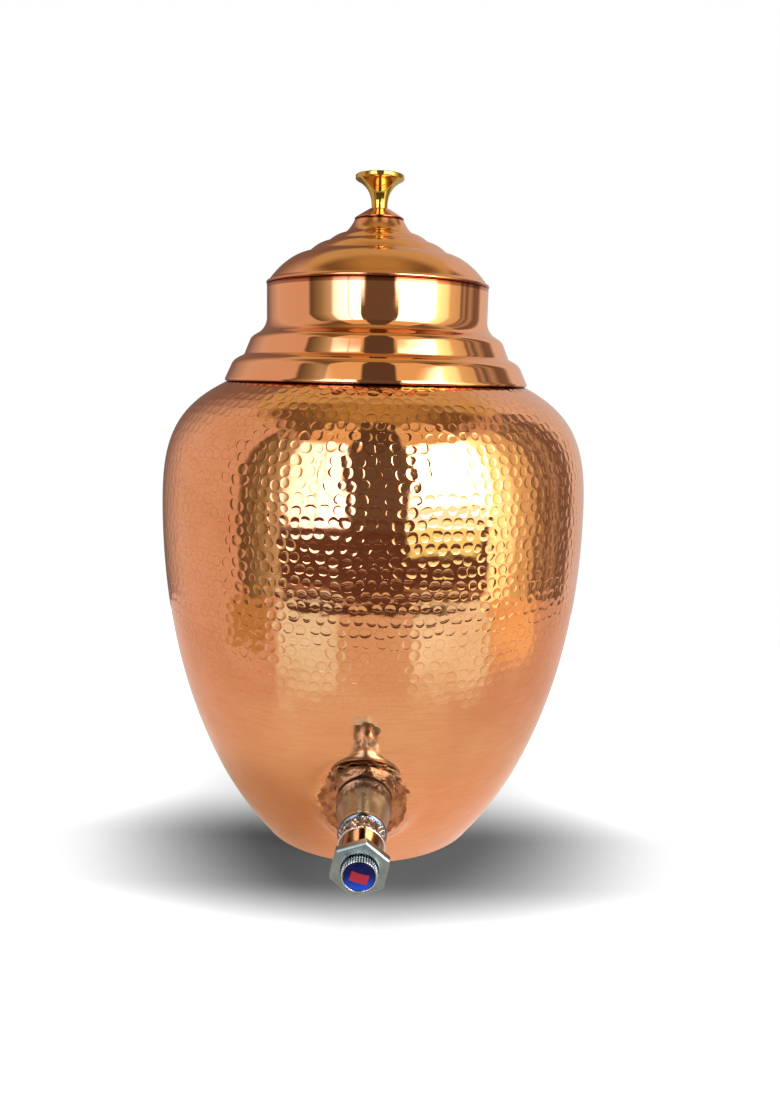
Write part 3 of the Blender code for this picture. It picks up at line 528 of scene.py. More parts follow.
from_tap = sheet.add("VectorMath", {"operation": "SUBTRACT"}, {0: place, 1: tuple(TAP_ORIGIN)})
run_out = from_tap.dot(tuple(TAP_ALONG))
reach = (from_tap.dot(from_tap) - run_out * run_out) ** 0.5 + (place.noise(210.0, 3.0) - 0.5) * 0.010
in_front = y.maths("LESS_THAN", 0.0)
# Painted shade: a dark ragged ring round the tap's seat stands in for the dark reflection there; the same
# ring is a little rougher.
painted_tap_halo = (1.0 - reach.step(0.0262, 0.0270)) * in_front
crumple = reach.band(0.0180, 0.0225, 0.0270, 0.0300) * in_front
height = height + crumple * place.noise(170.0, 2.0) * 0.00070
colour = place.noise(28.0, 4.0).step(0.30, 0.72).mix((0.80, 0.365, 0.165), (0.87, 0.428, 0.210))
colour = (streak.step(0.42, 0.70) * 0.30).mix(colour, (0.70, 0.29, 0.12))
# Painted shade: a dark outline round the rim of each hammer mark.
painted_dimple_rim_shade = blow.band(0.74, 0.95, 1.00, 1.16) * struck * (chance_size * 0.5 + 0.25)
colour = (painted_dimple_rim_shade * 0.45).mix(colour, (0.36, 0.13, 0.05))
tap_halo_colour = place.noise(130.0, 4.0).step(0.38, 0.62).mix((0.28, 0.105, 0.048), (0.54, 0.23, 0.11))
colour = painted_tap_halo.mix(colour, tap_halo_colour)
# Painted shade: a dark line on the vessel in the crease under the collar's foot.
collar_crease_shade = (1.0 - reach_out.step(0.0984, 0.0998)) * z.step(0.3010, 0.3026)
colour = collar_crease_shade.mix(colour, (0.16, 0.055, 0.028))
rough = 0.115 - struck * 0.055 + (streak - 0.5) * 0.06 + painted_tap_halo * 0.03
feed(shader, base_color=colour, roughness=rough, height=height)
vessel.data.materials.append(hammered)
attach(vessel, "vessel")
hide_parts("vessel_body")


# Neck. A collar spun from copper sheet in two steps, each with a straight flank and a round
# shoulder, soldered over the vessel's lip, and the straight tube on top, all polished like a mirror.

COLLAR_FOOT = 0.3041
COLLAR_FOOT_RADIUS = 0.0984
COLLAR_RADIUS = 0.0988
COLLAR_SKIRT = 0.3058
LOWER_SHOULDER = (0.0946, 0.3148)
LOWER_RING_TOP = (0.0870, 0.3209)
UPPER_RING_FOOT = (0.0863, 0.3215)
UPPER_SHOULDER = (0.0828, 0.3300)
UPPER_RING_TOP = (0.0772, 0.3351)
NECK_RADIUS = 0.0718
NECK_FOOT = 0.3442
NECK_TOP = 0.36512
NECK_COLUMNS = 288

neck_outside = joined(
    bezier(
        (COLLAR_FOOT_RADIUS, COLLAR_FOOT),
        (COLLAR_RADIUS, COLLAR_FOOT + 0.0004),
        (COLLAR_RADIUS + 0.0002, COLLAR_SKIRT - 0.0006),
        (COLLAR_RADIUS, COLLAR_SKIRT),
        8,
    ),
    bezier((COLLAR_RADIUS, COLLAR_SKIRT), (0.0975, 0.3086), (0.0962, 0.3114), LOWER_SHOULDER, 10),
    bezier(LOWER_SHOULDER, (0.0932, 0.3178), (0.0908, 0.3190), LOWER_RING_TOP, 20),
    bezier(LOWER_RING_TOP, (0.0866, 0.3211), (0.0864, 0.3212), UPPER_RING_FOOT, 5),
    bezier(UPPER_RING_FOOT, (0.0852, 0.3243), (0.0840, 0.3271), UPPER_SHOULDER, 10),
    bezier(UPPER_SHOULDER, (0.0817, 0.3327), (0.0798, 0.3336), UPPER_RING_TOP, 20),
    bezier(UPPER_RING_TOP, (0.0745, 0.3367), (0.0722, 0.3400), (NECK_RADIUS, NECK_FOOT), 24),
    (NECK_RADIUS, NECK_TOP),
)
neck_inside = beside(neck_outside, COPPER_WALL)[::-1]
neck_inside[0] = (NECK_RADIUS - COPPER_WALL, NECK_TOP)
neck_inside[-1] = (COLLAR_FOOT_RADIUS - COPPER_WALL, COLLAR_FOOT)
neck = skin("stepped_neck", turned(joined(neck_outside, neck_inside), NECK_COLUMNS), loop=True)

mirror_copper, shader, sheet = finish("mirror_copper", base_color=COPPER, metallic=1.0, roughness=0.04)
place = sheet.add("TexCoord", None, None, "Object")
haze = place.noise(40.0, 3.0)
buff = place.brushed((8.0, 8.0, 1600.0), 2.0)
z = place.split()[2]
# Painted shade: dark bands on the neck under the lid's rolled rim and at the collar's foot, where it meets
# the shoulder.
collar_foot_shade = 1.0 - z.step(COLLAR_FOOT + 0.0004, COLLAR_FOOT + 0.0012)
rim_gap_shade = z.band(NECK_TOP - 0.0010, NECK_TOP - 0.0006, NECK_TOP + 0.0005, NECK_TOP + 0.0006)
lid_shade = z.band(NECK_TOP - 0.0026, NECK_TOP - 0.0018, NECK_TOP - 0.0010, NECK_TOP - 0.0006) * 0.75
painted_shade_lines = rim_gap_shade + lid_shade + collar_foot_shade
feed(
    shader,
    base_color=painted_shade_lines.mix(haze.mix((0.83, 0.39, 0.18), (0.85, 0.41, 0.20)), (0.26, 0.06, 0.025)),
    roughness=haze.step(0.35, 0.80) * 0.05 + 0.035,
    height=buff * 0.0000012 + haze * 0.00006,
)
neck.data.materials.append(mirror_copper)
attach(neck, "vessel")
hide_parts("neck_collar", "neck_tube")


# Lid. One sheet of copper spun to a dome with two small steps under its crown, its edge rolled
# over a wire. A plain ring inside, soldered to it, keeps it in the neck.

LID_RADIUS = 0.0709
LID_RIM_ROLL = 0.0013
LID_RIM_HEIGHT = 0.36672
LID_HEIGHT = 0.0408
LID_CROWN_RADIUS = 0.0156
SKIRT_WALL = 0.0010
LID_COLUMNS = 288


def eased(corners, ease, count=5):
    """An outline with its corners rounded: each becomes a parabola that starts and ends an ease away."""
    corners = np.asarray(corners, float)
    ease = np.broadcast_to(np.asarray(ease, float), len(corners))[1:-1, None]
    back, middle, ahead = corners[:-2], corners[1:-1], corners[2:]
    to_back = (back - middle) / np.linalg.norm(back - middle, axis=1)[:, None]
    to_ahead = (ahead - middle) / np.linalg.norm(ahead - middle, axis=1)[:, None]
    share = np.linspace(0, 1, count)[None, :, None]
    start = (middle + to_back * ease)[:, None]
    end = (middle + to_ahead * ease)[:, None]
    bend = (1 - share) ** 2 * start + 2 * share * (1 - share) * middle[:, None] + share**2 * end
    return np.concatenate((corners[:1], bend.reshape(-1, 2), corners[-1:]))


def lid_point(across_share, up_share):
    """A point of the dome's profile, from shares of the lid's radius and of its height."""
    return (across_share * LID_RADIUS, LID_RIM_HEIGHT + up_share * LID_HEIGHT)


crown_edge = (LID_CROWN_RADIUS, LID_RIM_HEIGHT + LID_HEIGHT)
lid_outside = joined(
    crown_edge,
    bezier(crown_edge, lid_point(0.247, 0.917), lid_point(0.275, 0.824), lid_point(0.329, 0.777), 14),
    bezier(
        lid_point(0.329, 0.777), lid_point(0.381, 0.772), lid_point(0.430, 0.703), lid_point(0.470, 0.645), 12
    ),
    bezier(
        lid_point(0.470, 0.645), lid_point(0.543, 0.632), lid_point(0.599, 0.547), lid_point(0.647, 0.468), 14
    ),
    bezier(
        lid_point(0.647, 0.468), lid_point(0.776, 0.451), lid_point(0.924, 0.221), lid_point(1.0, 0.017), 30
    ),
)[:-1]
lid_inside = beside(lid_outside, -COPPER_WALL)
roll_turn = np.radians(np.linspace(30, -210, 20))
rim_roll = np.stack(
    (LID_RADIUS + LID_RIM_ROLL * np.cos(roll_turn), LID_RIM_HEIGHT + LID_RIM_ROLL * np.sin(roll_turn)), axis=1
)
lid_outline = joined(
    (0, crown_edge[1] - COPPER_WALL), lid_inside, rim_roll[::-1], lid_outside[::-1], (0, crown_edge[1])
)
lid = skin("spun_lid", turned(lid_outline, LID_COLUMNS))
skirt_radius = LID_RADIUS - LID_RIM_ROLL - 0.0003
skirt_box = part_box("lid_locating_ring")
skirt_outline = eased(
    (
        (skirt_radius - SKIRT_WALL / 2, skirt_box[0][2]),
        (skirt_radius, skirt_box[0][2]),
        (skirt_radius, skirt_box[1][2]),
        (skirt_radius - SKIRT_WALL, skirt_box[1][2]),
        (skirt_radius - SKIRT_WALL, skirt_box[0][2]),
        (skirt_radius - SKIRT_WALL / 2, skirt_box[0][2]),
    ),
    0.0002,
)[:-1]
skirt = skin("lid_skirt", turned(skirt_outline, LID_COLUMNS), loop=True)

spun_copper, shader, sheet = finish("spun_copper", base_color=COPPER, metallic=1.0, roughness=0.17)
place = sheet.add("TexCoord", None, None, "Object")
x, y, z = place.split()
radius = (x * x + y * y) ** 0.5
ring_place = sheet.add("CombineXYZ", None, {0: radius * 2400.0, 1: z * 2400.0})
rings = sheet.add(
    "TexNoise", {"noise_dimensions": "2D"}, {"Vector": ring_place, "Scale": 1.0, "Detail": 2.0}
)
cloud = place.noise(30.0, 4.0)
# Painted shade: dark lines on the lid under its rolled rim and round the crown's edge, at the foot of the
# knob's cone.
painted_under_rim_shade = (1.0 - z.step(LID_RIM_HEIGHT - 0.0006, LID_RIM_HEIGHT + 0.0003)) * radius.step(0.0700, 0.0708)
painted_crown_step_shade = z.band(
    crown_edge[1] - 0.0010, crown_edge[1] - 0.0005, crown_edge[1] + 0.0007, crown_edge[1] + 0.0012
)
painted_shade_lines = (painted_under_rim_shade + painted_crown_step_shade * radius.step(0.0140, 0.0150)).maths("MINIMUM", 1.0)
spun_colour = cloud.step(0.3, 0.7).mix((0.74, 0.335, 0.145), (0.84, 0.40, 0.185))
feed(
    shader,
    base_color=painted_shade_lines.mix(spun_colour, (0.28, 0.05, 0.02)),
    roughness=cloud * 0.10 + 0.10 + (rings - 0.5) * 0.06,
    height=rings * 0.0000035 + cloud * 0.00006,
)
for piece, node in ((lid, "lid_shell"), (skirt, "lid_locating_ring")):
    piece.data.materials.append(spun_copper)
    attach(piece, "lid")
    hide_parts(node)


# Knob. A turned brass trumpet on a small copper cone, held from below by a steel screw with a
# washer under the lid's crown.

CONE_FOOT = 0.40782
CONE_RADIUS = 0.0159
CONE_TOP_RADIUS = 0.0066
CONE_HEIGHT = 0.0065
KNOB_FOOT = 0.41462
KNOB_STEM_RADIUS = 0.0051
KNOB_STEM_HEIGHT = 0.0020
KNOB_RADIUS = 0.0156
KNOB_FLARE_HEIGHT = 0.0157
KNOB_RIM_HEIGHT = 0.0026
KNOB_CROWN = 0.00126
KNOB_COLUMNS = 160
SMALL_EASE = 0.0003

cone_outline = eased(
    (
        (0, CONE_FOOT),
        (CONE_RADIUS, CONE_FOOT),
        (CONE_RADIUS - 0.0002, CONE_FOOT + 0.0009),
        (CONE_TOP_RADIUS, CONE_FOOT + CONE_HEIGHT),
        (0, CONE_FOOT + CONE_HEIGHT),
    ),
    SMALL_EASE,
)
cone = skin("knob_cone", turned(cone_outline, KNOB_COLUMNS))
cone.data.materials.append(spun_copper)

flare_width = KNOB_RADIUS - KNOB_STEM_RADIUS
flare_foot = KNOB_FOOT + KNOB_STEM_HEIGHT
flare_top = flare_foot + KNOB_FLARE_HEIGHT
knob_top = flare_top + KNOB_RIM_HEIGHT
flare_edge = (KNOB_RADIUS - 0.0010, flare_top - 0.0007)
crown_share = np.linspace(1, 0, 24)
knob_crown = np.stack(
    (KNOB_RADIUS * crown_share, knob_top + KNOB_CROWN * (1 - crown_share**2)), axis=1
)
rim_side = eased(
    (flare_edge, (KNOB_RADIUS, flare_top), (KNOB_RADIUS, knob_top), tuple(knob_crown[2])), 0.0007
)
knob_outline = joined(
    (0, KNOB_FOOT),
    (KNOB_STEM_RADIUS, KNOB_FOOT),
    bezier(
        (KNOB_STEM_RADIUS, flare_foot),
        (KNOB_STEM_RADIUS + 0.02 * flare_width, flare_foot + 0.50 * KNOB_FLARE_HEIGHT),
        (KNOB_STEM_RADIUS + 0.40 * flare_width, flare_foot + 0.80 * KNOB_FLARE_HEIGHT),
        flare_edge,
        40,
    ),
    rim_side,
    knob_crown[3:],
)
knob = skin("brass_knob", turned(knob_outline, KNOB_COLUMNS))
polished_brass, shader, sheet = finish(
    "polished_brass", base_color=(0.58, 0.39, 0.08), metallic=1.0, roughness=0.06
)
place = sheet.add("TexCoord", None, None, "Object")
x, y, z = place.split()
ring_place = sheet.add("CombineXYZ", None, {0: (x * x + y * y) ** 0.5 * 3000.0, 1: z * 3000.0})
rings = sheet.add(
    "TexNoise", {"noise_dimensions": "2D"}, {"Vector": ring_place, "Scale": 1.0, "Detail": 2.0}
)
cloud = place.noise(150.0, 3.0)
feed(
    shader,
    base_color=cloud.mix((0.48, 0.31, 0.06), (0.66, 0.46, 0.10)),
    roughness=cloud * 0.08 + 0.06,
    height=rings * 0.0000020,
)
knob.data.materials.append(polished_brass)
lid_top = ((cone, "knob_base_cone", "polished_copper"), (knob, "lid_knob", "polished_brass"))
for piece, node, slot in lid_top:
    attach(piece, "lid")
    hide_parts(node)

bright_steel, shader, sheet = finish(
    "bright_steel", base_color=(0.62, 0.62, 0.63), metallic=1.0, roughness=0.28
)
grain = sheet.add("TexCoord", None, None, "Object").noise(900.0, 3.0)
feed(
    shader,
    base_color=grain.mix((0.56, 0.56, 0.57), (0.66, 0.66, 0.67)),
    roughness=grain * 0.16 + 0.20,
    height=grain * 0.000006,
)


def dress(node, material):
    """Give a CAD node that keeps its own shape a better material."""
    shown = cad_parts[node]
    if not shown.material_slots:
        shown.data.materials.append(material)
    for slot in shown.material_slots:
        slot.material = material


for node in ("knob_screw", "knob_screw_washer", "return_spring"):
    dress(node, bright_steel)


# Tap. One brass casting, turned and chromed: a threaded shank through the vessel's wall, a flange,
# a bell, a bead, a knurled band and a barrel, with the spout below. Rubber seals it on both sides.

TAP_UP = np.array((0, -math.sin(TAP_TILT), math.cos(TAP_TILT)))
FLANGE_RADIUS = 0.0167
FLANGE_THICKNESS = 0.0016
BELL_LENGTH = 0.0310
BELL_FRONT_RADIUS = 0.0133
BEAD_RADIUS = 0.0141
BEAD_WIDTH = 0.0030
BAND_RADIUS = 0.0134
BAND_LENGTH = 0.0120
BARREL_RADIUS = 0.0127
BARREL_LENGTH = 0.0140
SHANK_RADIUS = 0.01045
SHANK_LENGTH = 0.0185
THREAD_PITCH = 0.0018
THREAD_HALF_DEPTH = 0.00035
INLET_RADIUS = 0.0076
INLET_END = 0.0140
CHAMBER_RADIUS = 0.0085
CHAMBER_BACK = 0.0200
CHAMBER_FRONT = 0.0500
BARREL_BORE = CHAMBER_RADIUS + 0.0027
SPOUT_PLACE = 0.0300
SPOUT_REACH = 0.0290
SPOUT_RADIUS = 0.0075
SPOUT_TIP_RADIUS = 0.0068
SPOUT_BORE_RADIUS = 0.0050
SPOUT_BORE_END = 0.0090
KNURL_TEETH = 30
KNURL_SLANT = 600.0
KNURL_DEPTH = 0.0009
TAP_COLUMNS = 448


def on_tap(points):
    """Points on the tap: across, up, and along its axis from the flange's back."""
    return (
        TAP_ORIGIN
        + points[..., :1] * np.array((1, 0, 0))
        + points[..., 1:2] * TAP_UP
        + points[..., 2:3] * TAP_ALONG
    )


bead_start = BELL_LENGTH
band_start = bead_start + BEAD_WIDTH
barrel_start = band_start + BAND_LENGTH
barrel_end = barrel_start + BARREL_LENGTH
bead_turn = np.radians(np.linspace(-75, 75, 14))
bead = np.stack(
    (
        BEAD_RADIUS - BEAD_WIDTH / 2 + BEAD_WIDTH / 2 * np.cos(bead_turn),
        bead_start + BEAD_WIDTH / 2 + BEAD_WIDTH / 2 * np.sin(bead_turn),
    ),
    axis=1,
)
thread_places = np.linspace(-SHANK_LENGTH + 0.0006, -0.0022, 72)
thread_wave = np.sin(thread_places * 2 * np.pi / THREAD_PITCH)
thread = np.stack(
    (SHANK_RADIUS - THREAD_HALF_DEPTH + THREAD_HALF_DEPTH * thread_wave, thread_places), axis=1
)
flange_side = eased(
    (
        (SHANK_RADIUS - 0.0004, 0),
        (FLANGE_RADIUS, 0),
        (FLANGE_RADIUS, FLANGE_THICKNESS),
    ),
    0.0004,
)
bell = bezier(
    (FLANGE_RADIUS, FLANGE_THICKNESS),
    (FLANGE_RADIUS - 0.0002, BELL_LENGTH / 2),
    (BELL_FRONT_RADIUS, BELL_LENGTH / 2),
    (BELL_FRONT_RADIUS, BELL_LENGTH),
    40,
)
band_rows = np.linspace(band_start + 0.0009, barrel_start - 0.0009, 22)
band = np.stack((np.full_like(band_rows, BAND_RADIUS), band_rows), axis=1)
front_edge = eased(
    (
        (BAND_RADIUS - 0.0004, barrel_start),
        (BARREL_RADIUS, barrel_start + 0.0002),
        (BARREL_RADIUS, barrel_end),
        (BARREL_BORE, barrel_end),
    ),
    0.0004,
)
tap_outline = joined(
    (0, INLET_END),
    (INLET_RADIUS, INLET_END),
    (INLET_RADIUS, -SHANK_LENGTH),
    (SHANK_RADIUS - 0.0007, -SHANK_LENGTH),
    thread,
    (SHANK_RADIUS - 0.0004, -0.0018),
    flange_side,
    bell,
    bead,
    (BAND_RADIUS - 0.0004, band_start + 0.0002),
    band,
    front_edge,
    (BARREL_BORE, CHAMBER_FRONT),
    (CHAMBER_RADIUS, CHAMBER_FRONT),
    (CHAMBER_RADIUS, CHAMBER_BACK),
    (0, CHAMBER_BACK),
)
tap_grid = turned(tap_outline, TAP_COLUMNS)
tap_turn = np.linspace(0, 2 * np.pi, TAP_COLUMNS, endpoint=False)[None, :]
tap_run = tap_grid[..., 2]
in_band = np.clip((tap_run - band_start - 0.0008) / 0.0004, 0, 1) * np.clip(
    (barrel_start - 0.0008 - tap_run) / 0.0004, 0, 1
)
reach = np.linalg.norm(tap_grid[..., :2], axis=2)
in_band = np.where(reach > BAND_RADIUS - 0.0006, in_band, 0)
slant = tap_run * KNURL_SLANT
half_teeth = KNURL_TEETH / 2 * tap_turn
teeth = np.abs(np.sin(half_teeth + slant)) * np.abs(np.sin(half_teeth - slant))
shrink = 1 - in_band * KNURL_DEPTH * (1 - teeth) / BAND_RADIUS
tap_grid[..., :2] *= shrink[..., None]
casting = skin("tap_casting", on_tap(tap_grid))

spout_outline = joined(
    (0, 0.0070),
    (SPOUT_RADIUS + 0.0030, 0.0085),
    bezier(
        (SPOUT_RADIUS + 0.0026, 0.0100),
        (SPOUT_RADIUS + 0.0004, 0.0128),
        (SPOUT_RADIUS, 0.0140),
        (SPOUT_RADIUS, 0.0180),
        12,
    ),
    eased(
        (
            (SPOUT_RADIUS, 0.0181),
            (SPOUT_TIP_RADIUS, SPOUT_REACH),
            (SPOUT_BORE_RADIUS, SPOUT_REACH),
            (SPOUT_BORE_RADIUS, SPOUT_BORE_END),
        ),
        0.0005,
    ),
    (0, SPOUT_BORE_END),
)
spout_grid = turned(spout_outline, 96)
spout_points = TAP_ORIGIN + SPOUT_PLACE * TAP_ALONG + (
    spout_grid[..., :1] * np.array((1, 0, 0))
    + spout_grid[..., 1:2] * TAP_ALONG
    - spout_grid[..., 2:3] * TAP_UP
)
spout = skin("tap_spout", spout_points)

chrome, shader, sheet = finish(
    "polished_chrome", base_color=(0.80, 0.81, 0.82), metallic=1.0, roughness=0.08
)
place = sheet.add("TexCoord", None, None, "Object")
cloud = place.noise(120.0, 3.0)
orange_peel = place.noise(420.0, 1.0)
from_flange = sheet.add("VectorMath", {"operation": "SUBTRACT"}, {0: place, 1: tuple(TAP_ORIGIN)})
out = from_flange.dot(tuple(TAP_ALONG))
around = from_flange.dot(tuple(TAP_UP)).maths("ARCTAN2", place.split()[0]) - math.pi / 2
# The flange and the bell are darker and rougher than the front of the tap.
darker_bell = 1.0 - out.step(BELL_LENGTH - 0.0030, BELL_LENGTH + 0.0002)
plating = cloud.mix((0.70, 0.71, 0.72), (0.80, 0.80, 0.81))
on_band = out.band(band_start + 0.0006, band_start + 0.0012, barrel_start - 0.0012, barrel_start - 0.0006)
# Painted shade: the valleys of the knurled band are darker.
one_way = (around * (KNURL_TEETH / 2) + out * KNURL_SLANT).maths("SINE").maths("ABSOLUTE")
other_way = (around * (KNURL_TEETH / 2) - out * KNURL_SLANT).maths("SINE").maths("ABSOLUTE")
painted_valley_shade = on_band * (1.0 - (one_way * other_way).step(0.10, 0.50))
plating = painted_valley_shade.mix(plating, (0.24, 0.27, 0.32))
# Painted reflection: dark patches on the knurled band stand in for the dark room that it reflects.
band_reflection_patches = place.noise(330.0, 2.0).step(0.44, 0.56)
plating = (on_band * band_reflection_patches).mix(plating, (0.12, 0.145, 0.19))
# Painted reflection: dark streaks round the barrel stand in for the dark things that it reflects.
on_barrel = out.band(barrel_start, barrel_start + 0.0006, barrel_end - 0.0004, barrel_end)
barrel_streak_place = sheet.add("CombineXYZ", None, {0: around * 2.2, 1: out * 25.0})
barrel_reflection_streaks = sheet.add("TexNoise", {"noise_dimensions": "2D"}, {"Vector": barrel_streak_place, "Scale": 2.0, "Detail": 3.0})
plating = on_barrel.mix(plating, barrel_reflection_streaks.step(0.40, 0.56).mix((0.36, 0.31, 0.27), (0.09, 0.06, 0.045)))
# Painted shade: a dark band over the front half of the bead, which hides the highlight there.
painted_bead_shade = out.band(bead_start + 0.0013, bead_start + 0.0016, band_start + 0.0002, band_start + 0.0005)
plating = painted_bead_shade.mix(plating, (0.13, 0.15, 0.18))
feed(
    shader,
    base_color=darker_bell.mix(plating, cloud.mix((0.32, 0.37, 0.39), (0.44, 0.50, 0.50))),
    roughness=cloud.step(0.3, 0.8) * 0.08 + 0.05 + darker_bell * 0.14,
    height=orange_peel * 0.000012,
)
for piece in (casting, spout):
    piece.data.materials.append(chrome)
    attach(piece, "vessel")
    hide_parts("tap_body")

OUTER_WASHER_RADIUS = 0.0164
OUTER_WASHER_BORE = SHANK_RADIUS + 0.0003
OUTER_WASHER_BACK = -0.0018
OUTER_WASHER_FRONT = -0.0003

washer_outline = eased(
    (
        (OUTER_WASHER_BORE, -0.0010),
        (OUTER_WASHER_BORE, OUTER_WASHER_BACK),
        (OUTER_WASHER_RADIUS, OUTER_WASHER_BACK),
        (OUTER_WASHER_RADIUS, OUTER_WASHER_FRONT),
        (OUTER_WASHER_BORE, OUTER_WASHER_FRONT),
        (OUTER_WASHER_BORE, -0.0010),
    ),
    SMALL_EASE,
)[:-1]
outer_washer = skin("tap_front_washer", on_tap(turned(washer_outline, 128)), loop=True)
black_rubber, shader, sheet = finish("black_rubber", base_color=(0.03, 0.03, 0.03), roughness=0.65)
dust = sheet.add("TexCoord", None, None, "Object").noise(700.0, 4.0)
feed(
    shader,
    base_color=dust.mix((0.020, 0.020, 0.021), (0.045, 0.044, 0.043)),
    roughness=dust * 0.25 + 0.50,
    height=dust * 0.00001,
)
outer_washer.data.materials.append(black_rubber)
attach(outer_washer, "vessel")
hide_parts("tap_outer_washer")
for node in ("tap_inner_washer", "bonnet_gasket", "stem_o_ring", "valve_washer"):
    dress(node, black_rubber)

turned_brass, shader, sheet = finish(
    "turned_brass", base_color=(0.74, 0.57, 0.28), metallic=1.0, roughness=0.35
)
tarnish = sheet.add("TexCoord", None, None, "Object").noise(260.0, 4.0)
feed(
    shader,
    base_color=tarnish.step(0.35, 0.75).mix((0.76, 0.58, 0.28), (0.58, 0.40, 0.18)),
    roughness=tarnish * 0.22 + 0.24,
    height=tarnish * 0.000008,
)
for node in ("tap_backing_washer", "tap_lock_nut", "tap_stem", "valve_retaining_nut"):
    dress(node, turned_brass)


# Bonnet. The hexagonal front cap of the tap, brass with a satin plate, screwed into the barrel.
# Its edges are bevelled bright, and the button slides in its round recess.

BONNET_HALF_FLATS = 0.0148
BONNET_BACK = 0.0612
BONNET_FRONT = 0.0662
BONNET_TURN = math.radians(-11.0)
BONNET_CORNER = 1.148  # where the corners are turned off, as a multiple of the reach to the flats
BONNET_FLOOR_BACK = 0.0510
BONNET_FLOOR_FRONT = 0.0560
BONNET_NECK_RADIUS = 0.0109
BONNET_BORE = 0.00995
BONNET_COLUMNS = 384

bonnet_outline = joined(
    (0, BONNET_FLOOR_BACK),
    eased(
        (
            (0, BONNET_FLOOR_BACK),
            (BONNET_NECK_RADIUS, BONNET_FLOOR_BACK),
            (BONNET_NECK_RADIUS, BONNET_BACK),
            (BONNET_HALF_FLATS - 0.0004, BONNET_BACK),
            (BONNET_HALF_FLATS, BONNET_BACK + 0.0004),
            (BONNET_HALF_FLATS, BONNET_FRONT - 0.0009),
            (BONNET_HALF_FLATS - 0.0009, BONNET_FRONT),
            (BONNET_BORE + 0.0004, BONNET_FRONT),
            (BONNET_BORE, BONNET_FRONT - 0.0004),
            (BONNET_BORE, BONNET_FLOOR_FRONT),
            (0, BONNET_FLOOR_FRONT),
        ),
        (0, 0.0003, 0.0003, 0.00015, 0.00015, 0.00015, 0.00015, 0.0001, 0.0001, 0.0003, 0),
    ),
)
bonnet_grid = turned(bonnet_outline, BONNET_COLUMNS, start=math.pi / 2 + BONNET_TURN)
bonnet_turn = np.linspace(0, 2 * np.pi, BONNET_COLUMNS, endpoint=False) + math.pi / 2
flat_side = math.pi / 3
hex_reach = 1 / np.cos((bonnet_turn + flat_side / 2) % flat_side - flat_side / 2)
hex_reach = np.minimum(hex_reach, BONNET_CORNER)
outer = bonnet_outline[:, 0] > BONNET_HALF_FLATS - 0.0013
bonnet_grid[outer, :, :2] *= hex_reach[None, :, None]
bonnet = skin("hexagonal_bonnet", on_tap(bonnet_grid), sharp=math.radians(25))

satin, shader, sheet = finish("satin_plate", base_color=(0.56, 0.59, 0.58), metallic=1.0, roughness=0.30)
place = sheet.add("TexCoord", None, None, "Object")
grain = place.noise(1400.0, 3.0)
smear = place.noise(160.0, 3.0)
feed(
    shader,
    base_color=smear.step(0.3, 0.7).mix((0.21, 0.26, 0.265), (0.28, 0.33, 0.335)),
    roughness=smear * 0.16 + 0.22,
    height=grain * 0.000004,
)
bonnet.data.materials.append(satin)
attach(bonnet, "vessel")
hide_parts("tap_bonnet")


# Button. A chromed cap with a fine straight knurl, pressed to let water out, and a domed disc of
# clear blue plastic set in its face, with a plain red patch printed under it.

BUTTON_RADIUS = 0.0096
BUTTON_BACK = 0.0652
BUTTON_FRONT = 0.0720
BUTTON_TEETH = 40
TOOTH_DEPTH = 0.0006
GROOVE_PLACE = 0.0036
BUTTON_COLUMNS = 480
INSERT_RADIUS = 0.0085
INSERT_FOOT = 0.0713
INSERT_EDGE = 0.0720
INSERT_CROWN = 0.0012
PATCH_SLOPE = math.radians(-17)

button_skirt = BUTTON_RADIUS - 0.0020
button_floor = BUTTON_BACK + 0.0016
seat_radius = INSERT_RADIUS + 0.0003
seat_floor = BUTTON_FRONT - 0.0010
button_side = np.array((
    (BUTTON_RADIUS, BUTTON_BACK + 0.0006),
    (BUTTON_RADIUS, BUTTON_FRONT - 0.0006),
))
button_outline = joined(
    (0, button_floor),
    (button_skirt, button_floor),
    (button_skirt, BUTTON_BACK),
    (BUTTON_RADIUS - 0.0004, BUTTON_BACK),
    (BUTTON_RADIUS, BUTTON_BACK + 0.0005),
    spaced(button_side, 0.0004),
    eased(
        (
            (BUTTON_RADIUS, BUTTON_FRONT - 0.0005),
            (BUTTON_RADIUS - 0.0003, BUTTON_FRONT),
            (seat_radius, BUTTON_FRONT),
            (seat_radius, seat_floor),
            (0, seat_floor),
        ),
        0.0002,
    ),
)
button_grid = turned(button_outline, BUTTON_COLUMNS)
button_run = button_grid[..., 2]
knurled = np.where(np.linalg.norm(button_grid[..., :2], axis=2) > BUTTON_RADIUS - 0.0002, 1.0, 0.0)
groove = np.clip(1 - np.abs(button_run - (BUTTON_BACK + GROOVE_PLACE)) / 0.0004, 0, 1)
button_turn = np.linspace(0, 2 * np.pi, BUTTON_COLUMNS, endpoint=False)[None, :]
teeth = 0.5 + 0.5 * np.cos(BUTTON_TEETH * button_turn)
cut = TOOTH_DEPTH * (1 - teeth) * (1 - groove) + TOOTH_DEPTH * groove
button_grid[..., :2] *= (1 - knurled * cut / BUTTON_RADIUS)[..., None]
button = skin("push_button_cap", on_tap(button_grid))
knurled_chrome, shader, sheet = finish(
    "knurled_chrome", base_color=(0.80, 0.81, 0.82), metallic=1.0, roughness=0.10
)
place = sheet.add("TexCoord", None, None, "Object")
cloud = place.noise(120.0, 3.0)
from_flange = sheet.add("VectorMath", {"operation": "SUBTRACT"}, {0: place, 1: tuple(TAP_ORIGIN)})
lift = from_flange.dot(tuple(TAP_UP))
across_button = place.split()[0]
around = lift.maths("ARCTAN2", across_button) - math.pi / 2
from_axis = (across_button * across_button + lift * lift) ** 0.5
